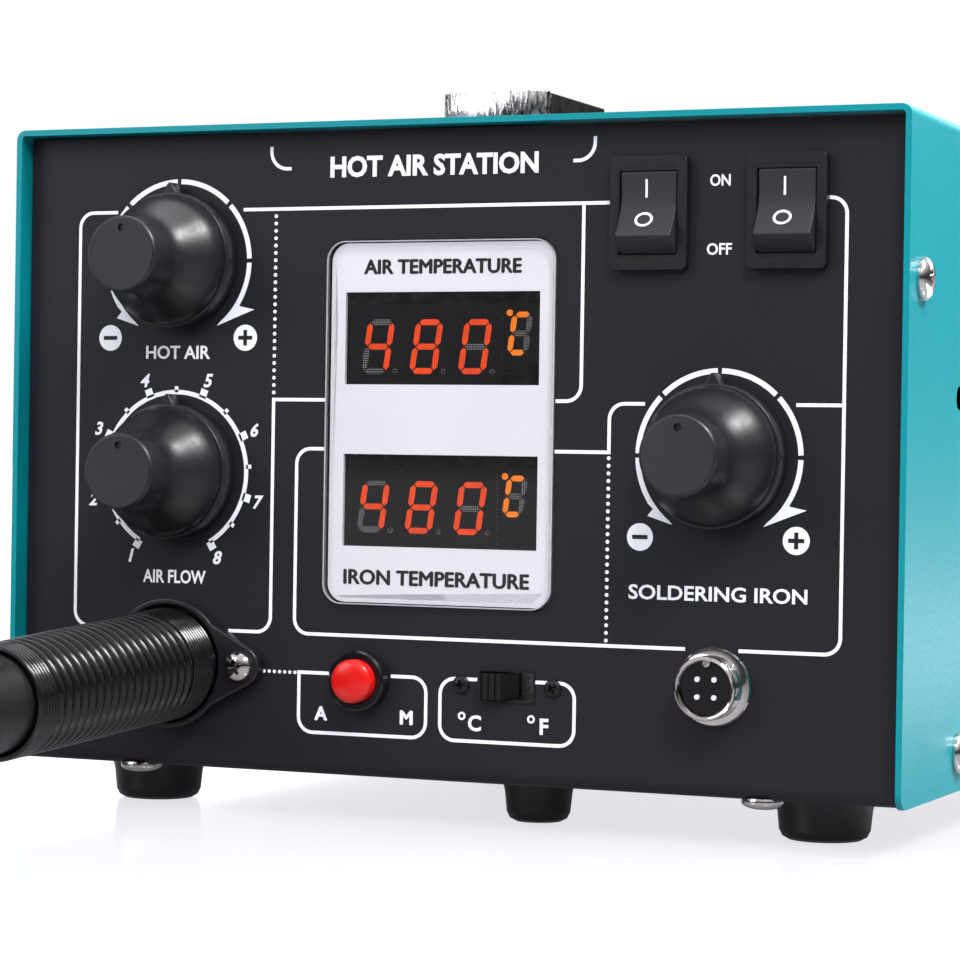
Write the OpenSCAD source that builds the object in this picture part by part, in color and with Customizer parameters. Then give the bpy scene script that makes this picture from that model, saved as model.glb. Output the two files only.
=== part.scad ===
// Hot-air and soldering station: a steel case with a diaphragm air pump and two heater circuits.
// The origin is the middle of the case on the surface that it stands on. +X is right, +Y is back, +Z is up.

/* [Case] */
// Width of the case over the cover's sides
body_w = 187; // [184:1:196]
// Depth of the case over the cover
body_d = 245; // [240:1:270]
// Height of the case without its feet
body_h = 127.8; // [127:0.1:136]
// Height of the rubber feet
foot_h = 8.7; // [8.2:0.1:12]
// Thickness of the steel sheet
sheet = 1.2; // [1:0.1:1.5]
// How far the cover stands out past the front and rear panels
recess = 4; // [3:0.5:6]
// Distance of each foot from the middle of the case
foot_x = 72; // [68:0.5:74]
// Distance of each foot's centre from the case's front or rear edge
foot_inset = 24.5; // [22:0.5:26]

/* [Handle] */
// Width of the carrying handle
handle_w = 22; // [20:0.5:26]
// Height of the carrying handle above the cover
handle_h = 8; // [7.5:0.5:12]
// Distance of the handle's end from the case's front or rear edge
handle_inset = 27; // [25:1:40]

/* [Front controls] */
// Distance of the two hot-air knobs left of the middle
air_x = 58; // [57:0.5:60]
// Distance of the soldering controls right of the middle
iron_x = 56.5; // [55:0.5:60]
// Height of the hot-air temperature knob
heat_z = 109.8; // [108:0.1:111]
// Height of the air-flow knob
flow_z = 67.7; // [66:0.1:69]
// Height of the soldering temperature knob
iron_z = 72.3; // [68:0.1:75]
// Diameter of a knob's skirt
knob_skirt_d = 27; // [24:0.5:30]
// Diameter of a knob's cap
knob_cap_d = 14.7; // [13:0.1:16]
// Height of a knob from the panel to its cap
knob_h = 23.2; // [21:0.2:26]
// Height of the two rocker switches
rocker_z = 117.7; // [116:0.1:119]
// Distance of the hot-air rocker switch right of the middle
air_rocker_x = 42.5; // [42:0.5:44]
// Distance of the soldering rocker switch right of the middle
iron_rocker_x = 69.5; // [68:0.5:71]
// Tilt of a rocker each way from level
rocker_tilt = 15; // [12:1:15]
// Distance of the mode button right of the middle
button_x = -16; // [-17:0.5:-14]
// Travel of the mode button
button_travel = 2.5; // [1:0.1:3]
// Distance of the unit slide switch right of the middle
slide_x = 14.6; // [13:0.1:16]
// Height of the mode button and the slide switch
small_z = 27.7; // [27:0.1:28.5]
// Travel of the slide switch
slide_travel = 5.4; // [4:0.1:5.4]
// Height of the hose outlet and the soldering socket
outlet_z = 29.5; // [29:0.5:31]

/* [Display] */
// Width of the display lens
lens_w = 48; // [47:0.5:49]
// Height of the display lens
lens_h = 71; // [70:0.5:73]
// Distance of the display's middle right of the case's middle
lens_x = -0.5; // [-1:0.1:1]
// Height of the display's middle
lens_z = 77.9; // [77:0.1:79]
// Width of each display window
window_w = 41; // [38:0.5:42]
// Height of each display window
window_h = 18; // [16:0.5:19]
// Upper window's centre above the display's middle
window_up = 16.5; // [16:0.1:18]
// Lower window's centre below the display's middle
window_down = 15.1; // [14:0.1:17]

/* [Hose and handpiece] */
// Outer diameter of the air hose
hose_d = 16; // [14:0.5:16]
// Length of the ribbed strain relief
boot_l = 68; // [66:1:72]
// Downward lean of the strain relief
boot_lean = 3.2; // [2:0.1:3.6]
// Radius of the stored hose coil at the middle of its turns
coil_r = 93; // [88:1:95]
// Outer diameter of the handpiece's grip
grip_d = 34; // [32:1:36]
// Length of the handpiece's grip
grip_l = 128; // [120:1:130]

/* [Hidden] */
$fn = 48;

front_y = -body_d / 2;
panel_y = front_y + recess;
top_z = foot_h + body_h;
bend_r = 2.5;
gap = 0.3;
side_x = body_w / 2;
half_in = side_x - sheet - gap;
panel_top = top_z - sheet - 0.4;
tab_depth = 20;
air_xs = -air_x;
lens = [lens_w, lens_h];
lens_at = [lens_x, lens_z];
window = [window_w, window_h];
window_dz = [window_up, -window_down];
rocker_x = [air_rocker_x, iron_rocker_x];
button_at = [button_x, small_z];
slide_at = [slide_x, small_z];
pot_at = [[air_xs, heat_z], [air_xs, flow_z], [iron_x, iron_z]];
bushing_r = 3.5;
shaft_r = 3;
shaft_bore_r = 3.05;
knob_gap = 0.6;
skirt_h = 4.3;
nut_h = 2.4;
washer_h = 0.5;
cap_back = 6.5;
rocker_r = 8.7;
rocker_depth = -2.2;
rocker_half_w = 5.5;
axle_r = 1.2;
bezel_t = 2;
socket_r = 6;
boot_r = 11.2;
mouth_r = 9.7;
ear_x = 16.5;
flange_r = 13;
flange_t = 3;
hose_r = hose_d / 2;
inlet_at = [-58, 38];
fuse_at = [-14, 38];

// The display board's back face behind the panel, and the studs that carry it, from the lens's middle
board_back = -12.4;
stud_at = [29.5, 40.5];
// Side screws: distance from the case's end, then height
side_screws = [[8.5, 105.3], [39.8, 16.2]];
base_screw_x = [-67, 65];
base_screw_inset = 8.2;
centre_foot_x = 13.3;
// Side vents: distance from the case's front, then height
vents = [for (c = [0:2], r = [-1:1]) [35 + 42 * c + (r == 0 ? 0 : 21), 84.2 + 11 * r]];
vent = [30, 4.6];

// The hose from the strain relief to the coil, by hand: out, down to the bench and round to the left
hose_points = [
    [-58, -183, 25.9], [-58, -194, 25.2], [-58.3, -205, 23.9], [-60, -216, 22], [-63.5, -226.5, 19.6],
    [-69, -236.5, 16.8], [-76.5, -245.5, 14.1], [-85.5, -253, 11.7], [-95.5, -259, 9.8],
    [-106, -263.5, 8.7], [-117, -266.5, 8.2], [-128, -268.2, 8.1], [-139, -269, 8.1], [-150, -269, 8.1],
    [-162, -269, 8.1], [-174, -269, 8.1], [-186, -269, 8.1], [-198, -269, 8.1], [-210, -269, 8.1]
];
coil_at = [-210, -269 + coil_r];
// The hose from the coil to the handpiece
tail_points = [
    [-303, -176, 24.6], [-303, -164, 24.5], [-303, -152, 23.8], [-303, -140, 22.6], [-303, -128, 20.4],
    [-303, -117, 18.5], [-303, -107, 17.4], [-303, -98, 17.1]
];
gun_at = [-303, -98, 17];

// ---------- shared shapes ----------

module on_panel(x, z) {
    translate([x, panel_y, z]) rotate([90, 0, 0]) children();
}

module on_rear(x, z) {
    translate([x, -panel_y, z]) rotate([90, 0, 180]) children();
}

module on_side(side, y, z) {
    translate([side * side_x, y, z]) rotate([90, 0, side * 90]) children();
}

module under(x, y) {
    translate([x, y, foot_h]) rotate([180, 0, 0]) children();
}

module round_rect(w, h, r) {
    square([w - 2 * r, h], center = true);
    square([w, h - 2 * r], center = true);
    for (sx = [-1, 1], sy = [-1, 1]) {
        translate([sx * (w / 2 - r), sy * (h / 2 - r)]) circle(r);
    }
}

module plate(w, h, r, z, t) {
    translate([0, 0, z]) linear_extrude(t) round_rect(w, h, r);
}

module box(w, h, z, t) {
    translate([-w / 2, -h / 2, z]) cube([w, h, t]);
}

module tube(r_out, r_in, z, t) {
    translate([0, 0, z]) difference() {
        cylinder(r = r_out, h = t);
        translate([0, 0, -1]) cylinder(r = r_in, h = t + 2);
    }
}

module disc(r, z, t) {
    translate([0, 0, z]) cylinder(r = r, h = t);
}

// A bent sheet, open at the top, with its bends at the bottom corners
module u_profile(w, h, t, r) {
    difference() {
        union() {
            translate([-w / 2, r]) square([w, h - r]);
            translate([-w / 2 + r, 0]) square([w - 2 * r, r + 1]);
            for (s = [-1, 1]) translate([s * (w / 2 - r), r]) circle(r);
        }
        translate([-w / 2 + t, r]) square([w - 2 * t, h]);
        translate([-w / 2 + r, t]) square([w - 2 * r, h]);
        for (s = [-1, 1]) translate([s * (w / 2 - r), r]) circle(r - t);
    }
}

// A pan-head cross-recess screw; its head sits on z = 0 and its shank runs down
module pan_screw(head_r, head_h, shank_r, shank_l) {
    difference() {
        union() {
            rotate_extrude() polygon([
                [0, 0], [head_r, 0], [head_r, head_h * 0.35], [head_r * 0.9, head_h * 0.7],
                [head_r * 0.65, head_h * 0.93], [0, head_h]
            ]);
            translate([0, 0, -shank_l]) cylinder(r = shank_r, h = shank_l + 0.1);
        }
        for (a = [0, 90]) rotate(a) {
            translate([-head_r * 0.55, -head_r * 0.11, head_h * 0.4]) {
                cube([head_r * 1.1, head_r * 0.22, head_h]);
            }
        }
    }
}

// A round cord swept along a list of points
function unit(v) = v / norm(v);
function heading(p, i) = unit(p[min(i + 1, len(p) - 1)] - p[max(i - 1, 0)]);
function ring(p, i, r, n) = let (d = heading(p, i), s = unit(cross(d, [0, 0, 1])), u = cross(s, d))
    [for (k = [0:n - 1]) p[i] + r * (cos(360 * k / n) * s + sin(360 * k / n) * u)];

module swept_cord(p, r, n) {
    m = len(p);
    points = [for (i = [0:m - 1]) each ring(p, i, r, n)];
    first = [for (k = [0:n - 1]) n - 1 - k];
    last = [for (k = [0:n - 1]) (m - 1) * n + k];
    walls = [for (i = [0:m - 2], k = [0:n - 1])
        [i * n + k, i * n + (k + 1) % n, (i + 1) * n + (k + 1) % n, (i + 1) * n + k]];
    polyhedron(points, concat([first], [last], walls), convexity = 6);
}

// ---------- case ----------

module panel_cuts() {
    for (p = pot_at) on_panel(p[0], p[1]) disc(bushing_r + 0.1, -5, 10);
    for (x = rocker_x) on_panel(x, rocker_z) box(13.8, 19.8, -5, 10);
    on_panel(lens_at[0], lens_at[1]) plate(lens[0] + 0.4, lens[1] + 0.4, 4.2, -5, 10);
    on_panel(button_at[0], button_at[1]) disc(5.1, -5, 10);
    on_panel(slide_at[0], slide_at[1]) {
        box(11, 5.5, -5, 10);
        for (s = [-1, 1]) translate([s * 9.5, 0, 0]) disc(1.35, -5, 10);
    }
    on_panel(iron_x, outlet_z) disc(socket_r + 0.1, -5, 10);
    on_panel(air_xs, outlet_z) {
        disc(8, -5, 10);
        for (s = [-1, 1]) translate([s * ear_x, 0, 0]) disc(1.6, -5, 10);
    }
}

module rear_cuts() {
    on_rear(inlet_at[0], inlet_at[1]) {
        box(28, 20.5, -5, 10);
        for (s = [-1, 1]) translate([s * 20, 0, 0]) disc(1.6, -5, 10);
    }
    on_rear(fuse_at[0], fuse_at[1]) disc(6.6, -5, 10);
    for (c = [-4:4], r = [0:2]) {
        on_rear(c * 16, 92 + r * 11) plate(11, 3.4, 1.6, -5, 10);
    }
}

module display_studs() {
    for (sx = [-1, 1], sy = [-1, 1]) {
        on_panel(lens_at[0] + sx * stud_at[0], lens_at[1] + sy * stud_at[1]) {
            disc(2.5, -10.8, 10.8 - sheet / 2);
            disc(1.5, board_back - 3, 6);
        }
    }
}

module chassis() {
    color("#26262a") difference() {
        union() {
            translate([0, 0, foot_h]) rotate([90, 0, 90]) {
                linear_extrude(2 * half_in, center = true) {
                    u_profile(-2 * panel_y, panel_top - foot_h, sheet, bend_r);
                }
            }
            for (s = [-1, 1], e = [-1, 1]) {
                tab_y = -panel_y - sheet - tab_depth / 2 + 0.1;
                translate([s * (half_in - sheet / 2), e * tab_y, top_z / 2 + 5]) {
                    cube([sheet, tab_depth, body_h - 22], center = true);
                }
            }
            display_studs();
        }
        panel_cuts();
        rear_cuts();
        for (s = [-1, 1], e = [-1, 1]) {
            on_side(s, e * (-front_y - side_screws[0][0]), side_screws[0][1]) disc(1.55, -8, 12);
            translate([s * foot_x, e * (-front_y - foot_inset), 0]) cylinder(r = 2.1, h = 20);
        }
        for (x = base_screw_x, e = [-1, 1]) {
            translate([x, e * (-front_y - base_screw_inset), 0]) cylinder(r = 1.6, h = 20);
        }
        translate([centre_foot_x, -foot_y, 0]) cylinder(r = 2.1, h = 20);
        for (s = [-1, 1], y = pump_mount_ys) translate([pump_x + s * 24, y, 0]) cylinder(r = 2.1, h = 20);
    }
}

module side_cuts(s) {
    for (e = [-1, 1], p = side_screws) on_side(s, e * (-front_y - p[0]), p[1]) disc(2, -8, 12);
    for (v = vents) on_side(s, front_y + v[0] + vent[0] / 2, v[1]) plate(vent[0], vent[1], 2.2, -8, 12);
    for (e = [-1, 1]) translate([0, e * -front_y, foot_h]) rotate([90, 0, 90]) difference() {
        translate([-3, -3]) linear_extrude(3 * side_x, center = true) square(6);
        translate([-e * 3, 3]) linear_extrude(3 * side_x + 2, center = true) circle(3);
        translate([-e * 4.5, 2]) linear_extrude(3 * side_x + 2, center = true) square([3, 8], center = true);
        translate([-e * 2, 4.5]) linear_extrude(3 * side_x + 2, center = true) square([8, 3], center = true);
    }
}

module cover() {
    color("#0aa3ad") difference() {
        translate([0, 0, top_z]) rotate([90, 180, 0]) {
            linear_extrude(body_d, center = true) u_profile(body_w, body_h, sheet, 2);
        }
        for (s = [-1, 1]) side_cuts(s);
        for (e = [-1, 1]) translate([0, e * handle_screw_y, top_z - 6]) cylinder(r = 2.1, h = 12);
    }
}

module cover_screws() {
    color("silver") for (s = [-1, 1], e = [-1, 1]) {
        for (p = side_screws) on_side(s, e * (-front_y - p[0]), p[1]) pan_screw(4, 2.4, 1.5, 5);
    }
}

// ---------- handle ----------

handle_l = body_d - 2 * handle_inset;
block_l = 30;
nose_l = 4;
handle_screw_y = handle_l / 2 - nose_l - block_l / 2;

module end_of_handle(e) {
    translate([0, e * (handle_l / 2 - nose_l), top_z]) rotate(e > 0 ? 180 : 0) children();
}

module handle_block(e) {
    color("#1c1c1f") end_of_handle(e) difference() {
        translate([-handle_w / 2, 0, 0]) cube([handle_w, block_l, handle_h]);
        translate([-handle_w / 2 + 1.6, 1.5, 2]) cube([handle_w - 3.2, block_l, 4.2]);
        translate([0, block_l / 2, -1]) cylinder(r = 2.1, h = handle_h + 2);
    }
}

module handle_block_front() {
    handle_block(-1);
}

module handle_block_rear() {
    handle_block(1);
}

module handle_strap() {
    strap_l = handle_l - 2 * nose_l - 6;
    color("#1c1c1f") difference() {
        translate([-handle_w / 2 + 1.8, -strap_l / 2, top_z + 2.2]) cube([handle_w - 3.6, strap_l, 3.8]);
        for (e = [-1, 1]) translate([0, e * handle_screw_y, top_z]) cylinder(r = 2.6, h = 12);
    }
}

module handle_noses() {
    color("silver") for (e = [-1, 1]) end_of_handle(e) difference() {
        intersection() {
            translate([-handle_w / 2 - 0.3, -nose_l, 0]) cube([handle_w + 0.6, nose_l, handle_h + 0.3]);
            translate([0, 40 - nose_l, 0]) cylinder(r = 40, h = handle_h + 0.3, $fn = 96);
        }
        translate([-handle_w / 2 + 2, -nose_l + 2.2, -1]) cube([handle_w - 4, nose_l, handle_h - 1]);
    }
}

module handle_screws() {
    color("silver") for (e = [-1, 1]) translate([0, e * handle_screw_y, top_z + handle_h]) {
        pan_screw(4, 2, 2, handle_h + 6);
        translate([0, 0, -handle_h - sheet - 3]) difference() {
            cylinder(r = 4, h = 3, $fn = 6);
            translate([0, 0, -1]) cylinder(r = 2.05, h = 6);
        }
    }
}

// ---------- feet ----------

module foot(x, y, r, screw_r) {
    color("#151517") under(x, y) difference() {
        rotate_extrude() polygon([
            [0, 0], [r + 0.4, 0], [r + 0.1, 1.2], [r - 0.3, 3], [r - 0.7, foot_h - 1.8],
            [r - 1.3, foot_h - 0.6], [r - 2.4, foot_h], [0, foot_h]
        ]);
        disc(screw_r, -1, foot_h + 2);
        disc(screw_r + 2.4, foot_h - 4, foot_h);
    }
}

foot_y = -front_y - foot_inset;

module foot_front_left() {
    foot(-foot_x, -foot_y, 9.4, 2);
}

module foot_front_right() {
    foot(foot_x, -foot_y, 9.4, 2);
}

module foot_rear_left() {
    foot(-foot_x, foot_y, 9.4, 2);
}

module foot_rear_right() {
    foot(foot_x, foot_y, 9.4, 2);
}

module centre_foot() {
    foot(centre_foot_x, -foot_y, 7, 2);
}

module foot_screws() {
    places = concat(
        [for (s = [-1, 1], e = [-1, 1]) [s * foot_x, e * foot_y]],
        [[centre_foot_x, -foot_y]]
    );
    color("silver") for (p = places) under(p[0], p[1]) {
        translate([0, 0, foot_h - 4]) pan_screw(3.6, 2.2, 1.9, foot_h + 1);
    }
}

module base_screws() {
    color("silver") for (x = base_screw_x, e = [-1, 1]) {
        under(x, e * (-front_y - base_screw_inset)) pan_screw(4.2, 2, 1.5, 6);
    }
}

// ---------- display ----------

module display_lens() {
    color("gainsboro", 0.5) on_panel(lens_at[0], lens_at[1]) plate(lens[0], lens[1], 4, -0.6, 1.6);
}

module display_plate() {
    color("silver") on_panel(lens_at[0], lens_at[1]) difference() {
        plate(lens[0] - 2.6, lens[1] - 2.6, 2.7, -1.4, 0.8);
        for (dz = window_dz) translate([0, dz, 0]) box(window[0], window[1], -4, 4);
    }
}

module display_module(dz) {
    color("#141416") on_panel(lens_at[0], lens_at[1] + dz) box(window[0] + 3, window[1] + 2, -10.8, 9.4);
}

module air_display() {
    display_module(window_dz[0]);
}

module iron_display() {
    display_module(window_dz[1]);
}

module display_board() {
    color("#1d5a35") on_panel(lens_at[0], lens_at[1]) difference() {
        union() {
            box(66, 88, board_back, 1.6);
            box(30, 8, board_back - 6, 6);
            for (x = [-22, -8, 12]) translate([x, -20, 0]) box(6, 9, board_back - 2, 2);
        }
        for (sx = [-1, 1], sy = [-1, 1]) translate([sx * stud_at[0], sy * stud_at[1], 0]) disc(1.7, -30, 30);
    }
}

// ---------- knobs and potentiometers ----------

module pot(i) {
    color("dimgray") on_panel(pot_at[i][0], pot_at[i][1]) difference() {
        union() {
            disc(8.5, -sheet - 9, 9);
            disc(bushing_r, -sheet - 0.5, sheet + 5.5);
            box(12, 5, -sheet - 9.5, 4);
            for (x = [-4, 0, 4]) translate([x, -11, 0]) box(1.2, 8, -sheet - 8, 0.5);
        }
        disc(shaft_bore_r, -sheet - 7.8, 20);
    }
}

module shaft(i) {
    color("silver") on_panel(pot_at[i][0], pot_at[i][1]) disc(shaft_r, -sheet - 7.5, sheet + 7.5 + 18);
}

// Outside of a knob: a straight skirt, then a bell that narrows to the cap
neck_r = knob_cap_d / 2 + 0.3;
function bell(t) = neck_r + (knob_skirt_d / 2 - 0.3 - neck_r) * (1 + cos(180 * t)) / 2;
bell_steps = 10;
bell_z = [skirt_h + knob_gap + 0.4, 16];
function bell_height(t) = bell_z[0] + (bell_z[1] - bell_z[0]) * t;

module knob(i) {
    color("#202023") on_panel(pot_at[i][0], pot_at[i][1]) difference() {
        union() {
            rotate_extrude($fn = 72) polygon(concat(
                [[0, knob_gap], [knob_skirt_d / 2, knob_gap], [knob_skirt_d / 2, knob_gap + skirt_h]],
                [for (k = [0:bell_steps]) [bell(k / bell_steps), bell_height(k / bell_steps)]],
                [[knob_cap_d / 2, knob_h - 0.3], [knob_cap_d / 2 - 0.3, knob_h], [0, knob_h]]
            ));
            translate([0, 0, knob_gap + 0.5]) linear_extrude(skirt_h - 0.8) {
                foot_of_pointer = knob_skirt_d / 2 - 1;
                polygon([[-2.4, foot_of_pointer], [2.4, foot_of_pointer], [0, foot_of_pointer + 2.9]]);
            }
        }
        disc(10.5, -1, knob_gap + 6.5);
        disc(shaft_r, 1, 17);
        translate([0, 5.1, knob_h - 0.4]) cylinder(r = 0.7, h = 1, $fn = 24);
    }
}

module heat_pot() {
    pot(0);
}

module flow_pot() {
    pot(1);
}

module iron_pot() {
    pot(2);
}

module heat_shaft() {
    shaft(0);
}

module flow_shaft() {
    shaft(1);
}

module iron_shaft() {
    shaft(2);
}

module heat_knob() {
    knob(0);
}

module flow_knob() {
    knob(1);
}

module iron_knob() {
    knob(2);
}

module hex_nut(r, bore, z, t) {
    difference() {
        translate([0, 0, z]) cylinder(r = r, h = t, $fn = 6);
        disc(bore, z - 1, t + 2);
    }
}

module panel_nuts() {
    color("silver") {
        for (p = pot_at) on_panel(p[0], p[1]) {
            hex_nut(6.35, bushing_r + 0.05, washer_h + 0.05, nut_h);
            tube(6.3, bushing_r + 0.05, 0, washer_h);
        }
        on_panel(iron_x, outlet_z) hex_nut(8.6, socket_r + 0.05, -sheet - nut_h, nut_h);
        on_panel(button_at[0], button_at[1]) hex_nut(7.2, 5.05, -sheet - nut_h, nut_h);
    }
}

// ---------- rocker switches ----------

module switch_housing(x) {
    color("#19191b") on_panel(x, rocker_z) difference() {
        union() {
            plate(15, 21, 1, 0, bezel_t);
            box(13.5, 19.4, -13, 13.1);
            for (y = [-6, 0, 6]) translate([0, y, 0]) box(4.8, 0.8, -21, 8.1);
        }
        translate([0, 0, rocker_depth]) rotate([0, 90, 0]) {
            cylinder(r = rocker_r + 0.25, h = 2 * rocker_half_w + 0.5, center = true, $fn = 96);
            cylinder(r = axle_r + 0.08, h = 13, center = true);
        }
    }
}

module rocker(x) {
    front = [for (k = [-6:6]) [k / 6 * 6.26, 4.35 + 1.69 * pow(abs(k) / 6, 1.5)]];
    color("#242427") on_panel(x, rocker_z) translate([0, 0, rocker_depth]) rotate([-rocker_tilt, 0, 0]) {
        rotate([90, 0, 90]) {
            linear_extrude(2 * rocker_half_w, center = true) intersection() {
                circle(rocker_r, $fn = 96);
                polygon(concat(front, [[9, 8.69], [9, -3], [-9, -3], [-9, 8.69]]));
            }
            cylinder(r = axle_r, h = 2 * rocker_half_w + 1.8, center = true);
        }
    }
}

module air_switch_housing() {
    switch_housing(rocker_x[0]);
}

module iron_switch_housing() {
    switch_housing(rocker_x[1]);
}

module air_rocker() {
    rocker(rocker_x[0]);
}

module iron_rocker() {
    rocker(rocker_x[1]);
}

// ---------- mode button, slide switch and soldering socket ----------

module button_housing() {
    color("#19191b") on_panel(button_at[0], button_at[1]) difference() {
        union() {
            rotate_extrude() polygon([[0, 0], [5.9, 0], [5.9, 2.8], [5.5, 3.2], [0, 3.2]]);
            disc(5, -6, 6.1);
            disc(6, -14, 8.1);
            for (x = [-2.5, 2.5]) translate([x, 0, 0]) box(0.6, 2.4, -19, 5.1);
        }
        disc(4.5, -cap_back - button_travel - 0.5, 20);
    }
}

module button_cap() {
    color("#d8231f") on_panel(button_at[0], button_at[1]) rotate_extrude() {
        polygon([
            [0, -cap_back], [4.25, -cap_back], [4.25, 4.6], [4.1, 5.2], [3.6, 5.7], [2.4, 6.05], [0, 6.25]
        ]);
    }
}

module slide_switch_body() {
    color("#2a2a2c") on_panel(slide_at[0], slide_at[1]) difference() {
        union() {
            box(24, 7, -sheet - 0.6, 0.6);
            box(14, 7, -sheet - 7.2, 6.7);
            for (x = [-4, 0, 4]) translate([x, 0, 0]) box(0.6, 1.8, -sheet - 11, 4);
        }
        box(11.2, 5.4, -sheet - 6.2, 8);
        for (s = [-1, 1]) translate([s * 9.5, 0, 0]) disc(1.3, -5, 10);
    }
}

module slide_actuator() {
    at = -slide_travel / 2;
    color("#161618") on_panel(slide_at[0] + at, slide_at[1]) difference() {
        box(5.3, 5, -sheet - 5.8, sheet + 5.8 + 2.4);
        for (x = [-1.5, 0, 1.5]) translate([x, 0, 0]) box(0.6, 6, 1.8, 2);
    }
}

module slide_screws() {
    color("#161618") for (s = [-1, 1]) {
        on_panel(slide_at[0] + s * 9.5, slide_at[1]) pan_screw(1.8, 1, 1.2, 5);
    }
}

module socket_shell() {
    color("silver") on_panel(iron_x, outlet_z) {
        difference() {
            union() {
                disc(7.4, 0, 1.4);
                disc(socket_r, -8, 14.2);
            }
            disc(5.1, -9, 20);
        }
        translate([0, 4.9, 3]) cylinder(r = 0.8, h = 3, $fn = 24);
    }
}

module socket_insert() {
    color("#121214") on_panel(iron_x, outlet_z) difference() {
        disc(5, -9, 14.2);
        translate([0, 4.9, 2.8]) cylinder(r = 1, h = 4, $fn = 24);
        for (x = [-1.65, 1.65], y = [-1.65, 1.65]) translate([x, y, 0]) disc(0.52, -10, 20);
    }
}

module socket_pins() {
    color("gainsboro") for (x = [-1.65, 1.65], y = [-1.65, 1.65]) {
        on_panel(iron_x + x, outlet_z + y) disc(0.5, -13, 18.6);
    }
}

// ---------- hose outlet ----------

module hose_flange() {
    color("#161618") on_panel(air_xs, outlet_z) difference() {
        linear_extrude(flange_t) {
            circle(flange_r, $fn = 72);
            for (s = [-1, 1]) translate([s * ear_x, 0]) circle(3.9);
            polygon([
                [-17.9, -3.4], [-11, -6.5], [11, -6.5], [17.9, -3.4],
                [17.9, 3.4], [11, 6.5], [-11, 6.5], [-17.9, 3.4]
            ]);
        }
        disc(boot_r + 0.3, -1, 6);
        for (s = [-1, 1]) translate([s * ear_x, 0, 0]) disc(1.6, -1, 6);
    }
}

module flange_screws() {
    color("silver") for (s = [-1, 1]) {
        on_panel(air_xs + s * ear_x, outlet_z) translate([0, 0, flange_t]) pan_screw(2.7, 1.8, 1.5, 8);
    }
}

// Ribs of the strain relief as pairs of points along its length: radius at z
function rib(z, pitch, r, deep) = [
    [r, z], [r, z + pitch * 0.6], [r - deep, z + pitch * 0.68], [r - deep, z + pitch * 0.92]
];
fine = 1;
coarse_start = 2.2 + 9 * fine;
coarse = (boot_l - 6 - coarse_start - 0.2) / 18;
function boot_radius(z) = boot_r - 0.4 * z / boot_l;

module boot_frame() {
    on_panel(air_xs, outlet_z) rotate([boot_lean, 0, 0]) children();
}

module hose_boot() {
    ribs = concat(
        [for (k = [0:8]) each rib(2.2 + k * fine, fine, boot_radius(3), 0.35)],
        [for (k = [0:17]) each rib(coarse_start + k * coarse, coarse, boot_radius(12 + k * coarse), 1.1)],
        [for (k = [0:4]) each rib(boot_l - 6 + k * fine, fine, boot_radius(boot_l), 0.35)]
    );
    color("#131315") boot_frame() difference() {
        rotate_extrude() polygon(concat(
            [[0, 0.8], [boot_r, 0.8]],
            ribs,
            [[boot_radius(boot_l), boot_l - 0.5], [boot_radius(boot_l) - 0.4, boot_l], [0, boot_l]]
        ));
        disc(hose_r + 0.3, -1, boot_l + 5);
        disc(mouth_r, boot_l - 7, 10);
    }
}

// The pipe kinks at its collar, so that it stays in the middle of the leaning strain relief
module outlet_pipe() {
    color("darkkhaki") {
        on_panel(air_xs, outlet_z) {
            tube(6.5, 4.5, -22, 21);
            tube(7.4, 4.4, -2, 2.4);
            translate([0, 0, -22]) rotate([0, -90, 0]) translate([0, 0, 6]) tube(5.5, 4.5, 0, 10);
        }
        boot_frame() tube(6.5, 4.5, 0, 62);
    }
}

module hose() {
    color("#101012") swept_cord(hose_points, hose_r, 12);
}

module hose_tail() {
    color("#101012") swept_cord(tail_points, hose_r, 12);
}

module hose_coil() {
    color("#101012") translate([coil_at[0], coil_at[1], 0]) rotate_extrude($fn = 96) {
        translate([coil_r, hose_r + 0.1]) circle(hose_r);
        translate([coil_r - hose_r, hose_r + 0.1]) square([hose_d, hose_d]);
        translate([coil_r, hose_r + hose_d + 0.1]) circle(hose_r);
    }
}

// ---------- handpiece, lying along +Y beside the coil ----------

module gun_frame() {
    translate(gun_at) rotate([-90, 0, 0]) children();
}

module gun_grip() {
    r = grip_d / 2;
    color("#1b1b1e") gun_frame() difference() {
        rotate_extrude() polygon([
            [0, 0.2], [10, 0.2], [11, 4], [11.5, 14], [r - 1, 24], [r, 28], [r, 40], [r - 1.8, 58],
            [r - 1.8, 84], [r - 0.6, 104], [r, 112], [r, grip_l - 2], [r - 2, grip_l], [0, grip_l]
        ]);
        disc(10, 20, grip_l);
    }
}

module gun_barrel() {
    color("silver") gun_frame() difference() {
        union() {
            disc(9.8, 90, grip_l - 90 + 0.1);
            disc(14, grip_l + 0.1, 3);
            disc(11, grip_l + 0.1, 84);
        }
        disc(8.6, 80, 200);
    }
}

module gun_heater() {
    color("linen") gun_frame() difference() {
        disc(8, 100, 104);
        for (a = [0:60:300]) rotate(a) translate([5, 0, 0]) disc(1.4, 90, 130);
    }
}

module gun_nozzle() {
    color("silver") gun_frame() difference() {
        rotate_extrude() polygon([
            [0, grip_l + 72], [12.4, grip_l + 72], [12.4, grip_l + 88], [6, grip_l + 94],
            [5, grip_l + 98], [5, grip_l + 110], [0, grip_l + 110]
        ]);
        disc(11.1, grip_l + 70, 15);
        disc(4, grip_l + 80, 40);
    }
}

// ---------- rear panel ----------

module mains_inlet() {
    color("#151517") on_rear(inlet_at[0], inlet_at[1]) difference() {
        union() {
            plate(50, 23, 4, 0, 3);
            box(27.4, 20, -22, 23);
        }
        box(24, 16, -14, 20);
        for (s = [-1, 1]) translate([s * 20, 0, 0]) disc(1.7, -5, 10);
        for (p = [[-7, -2], [7, -2], [0, 2]]) translate([p[0], p[1], 0]) box(2.2, 4.2, -30, 20);
    }
}

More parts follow.
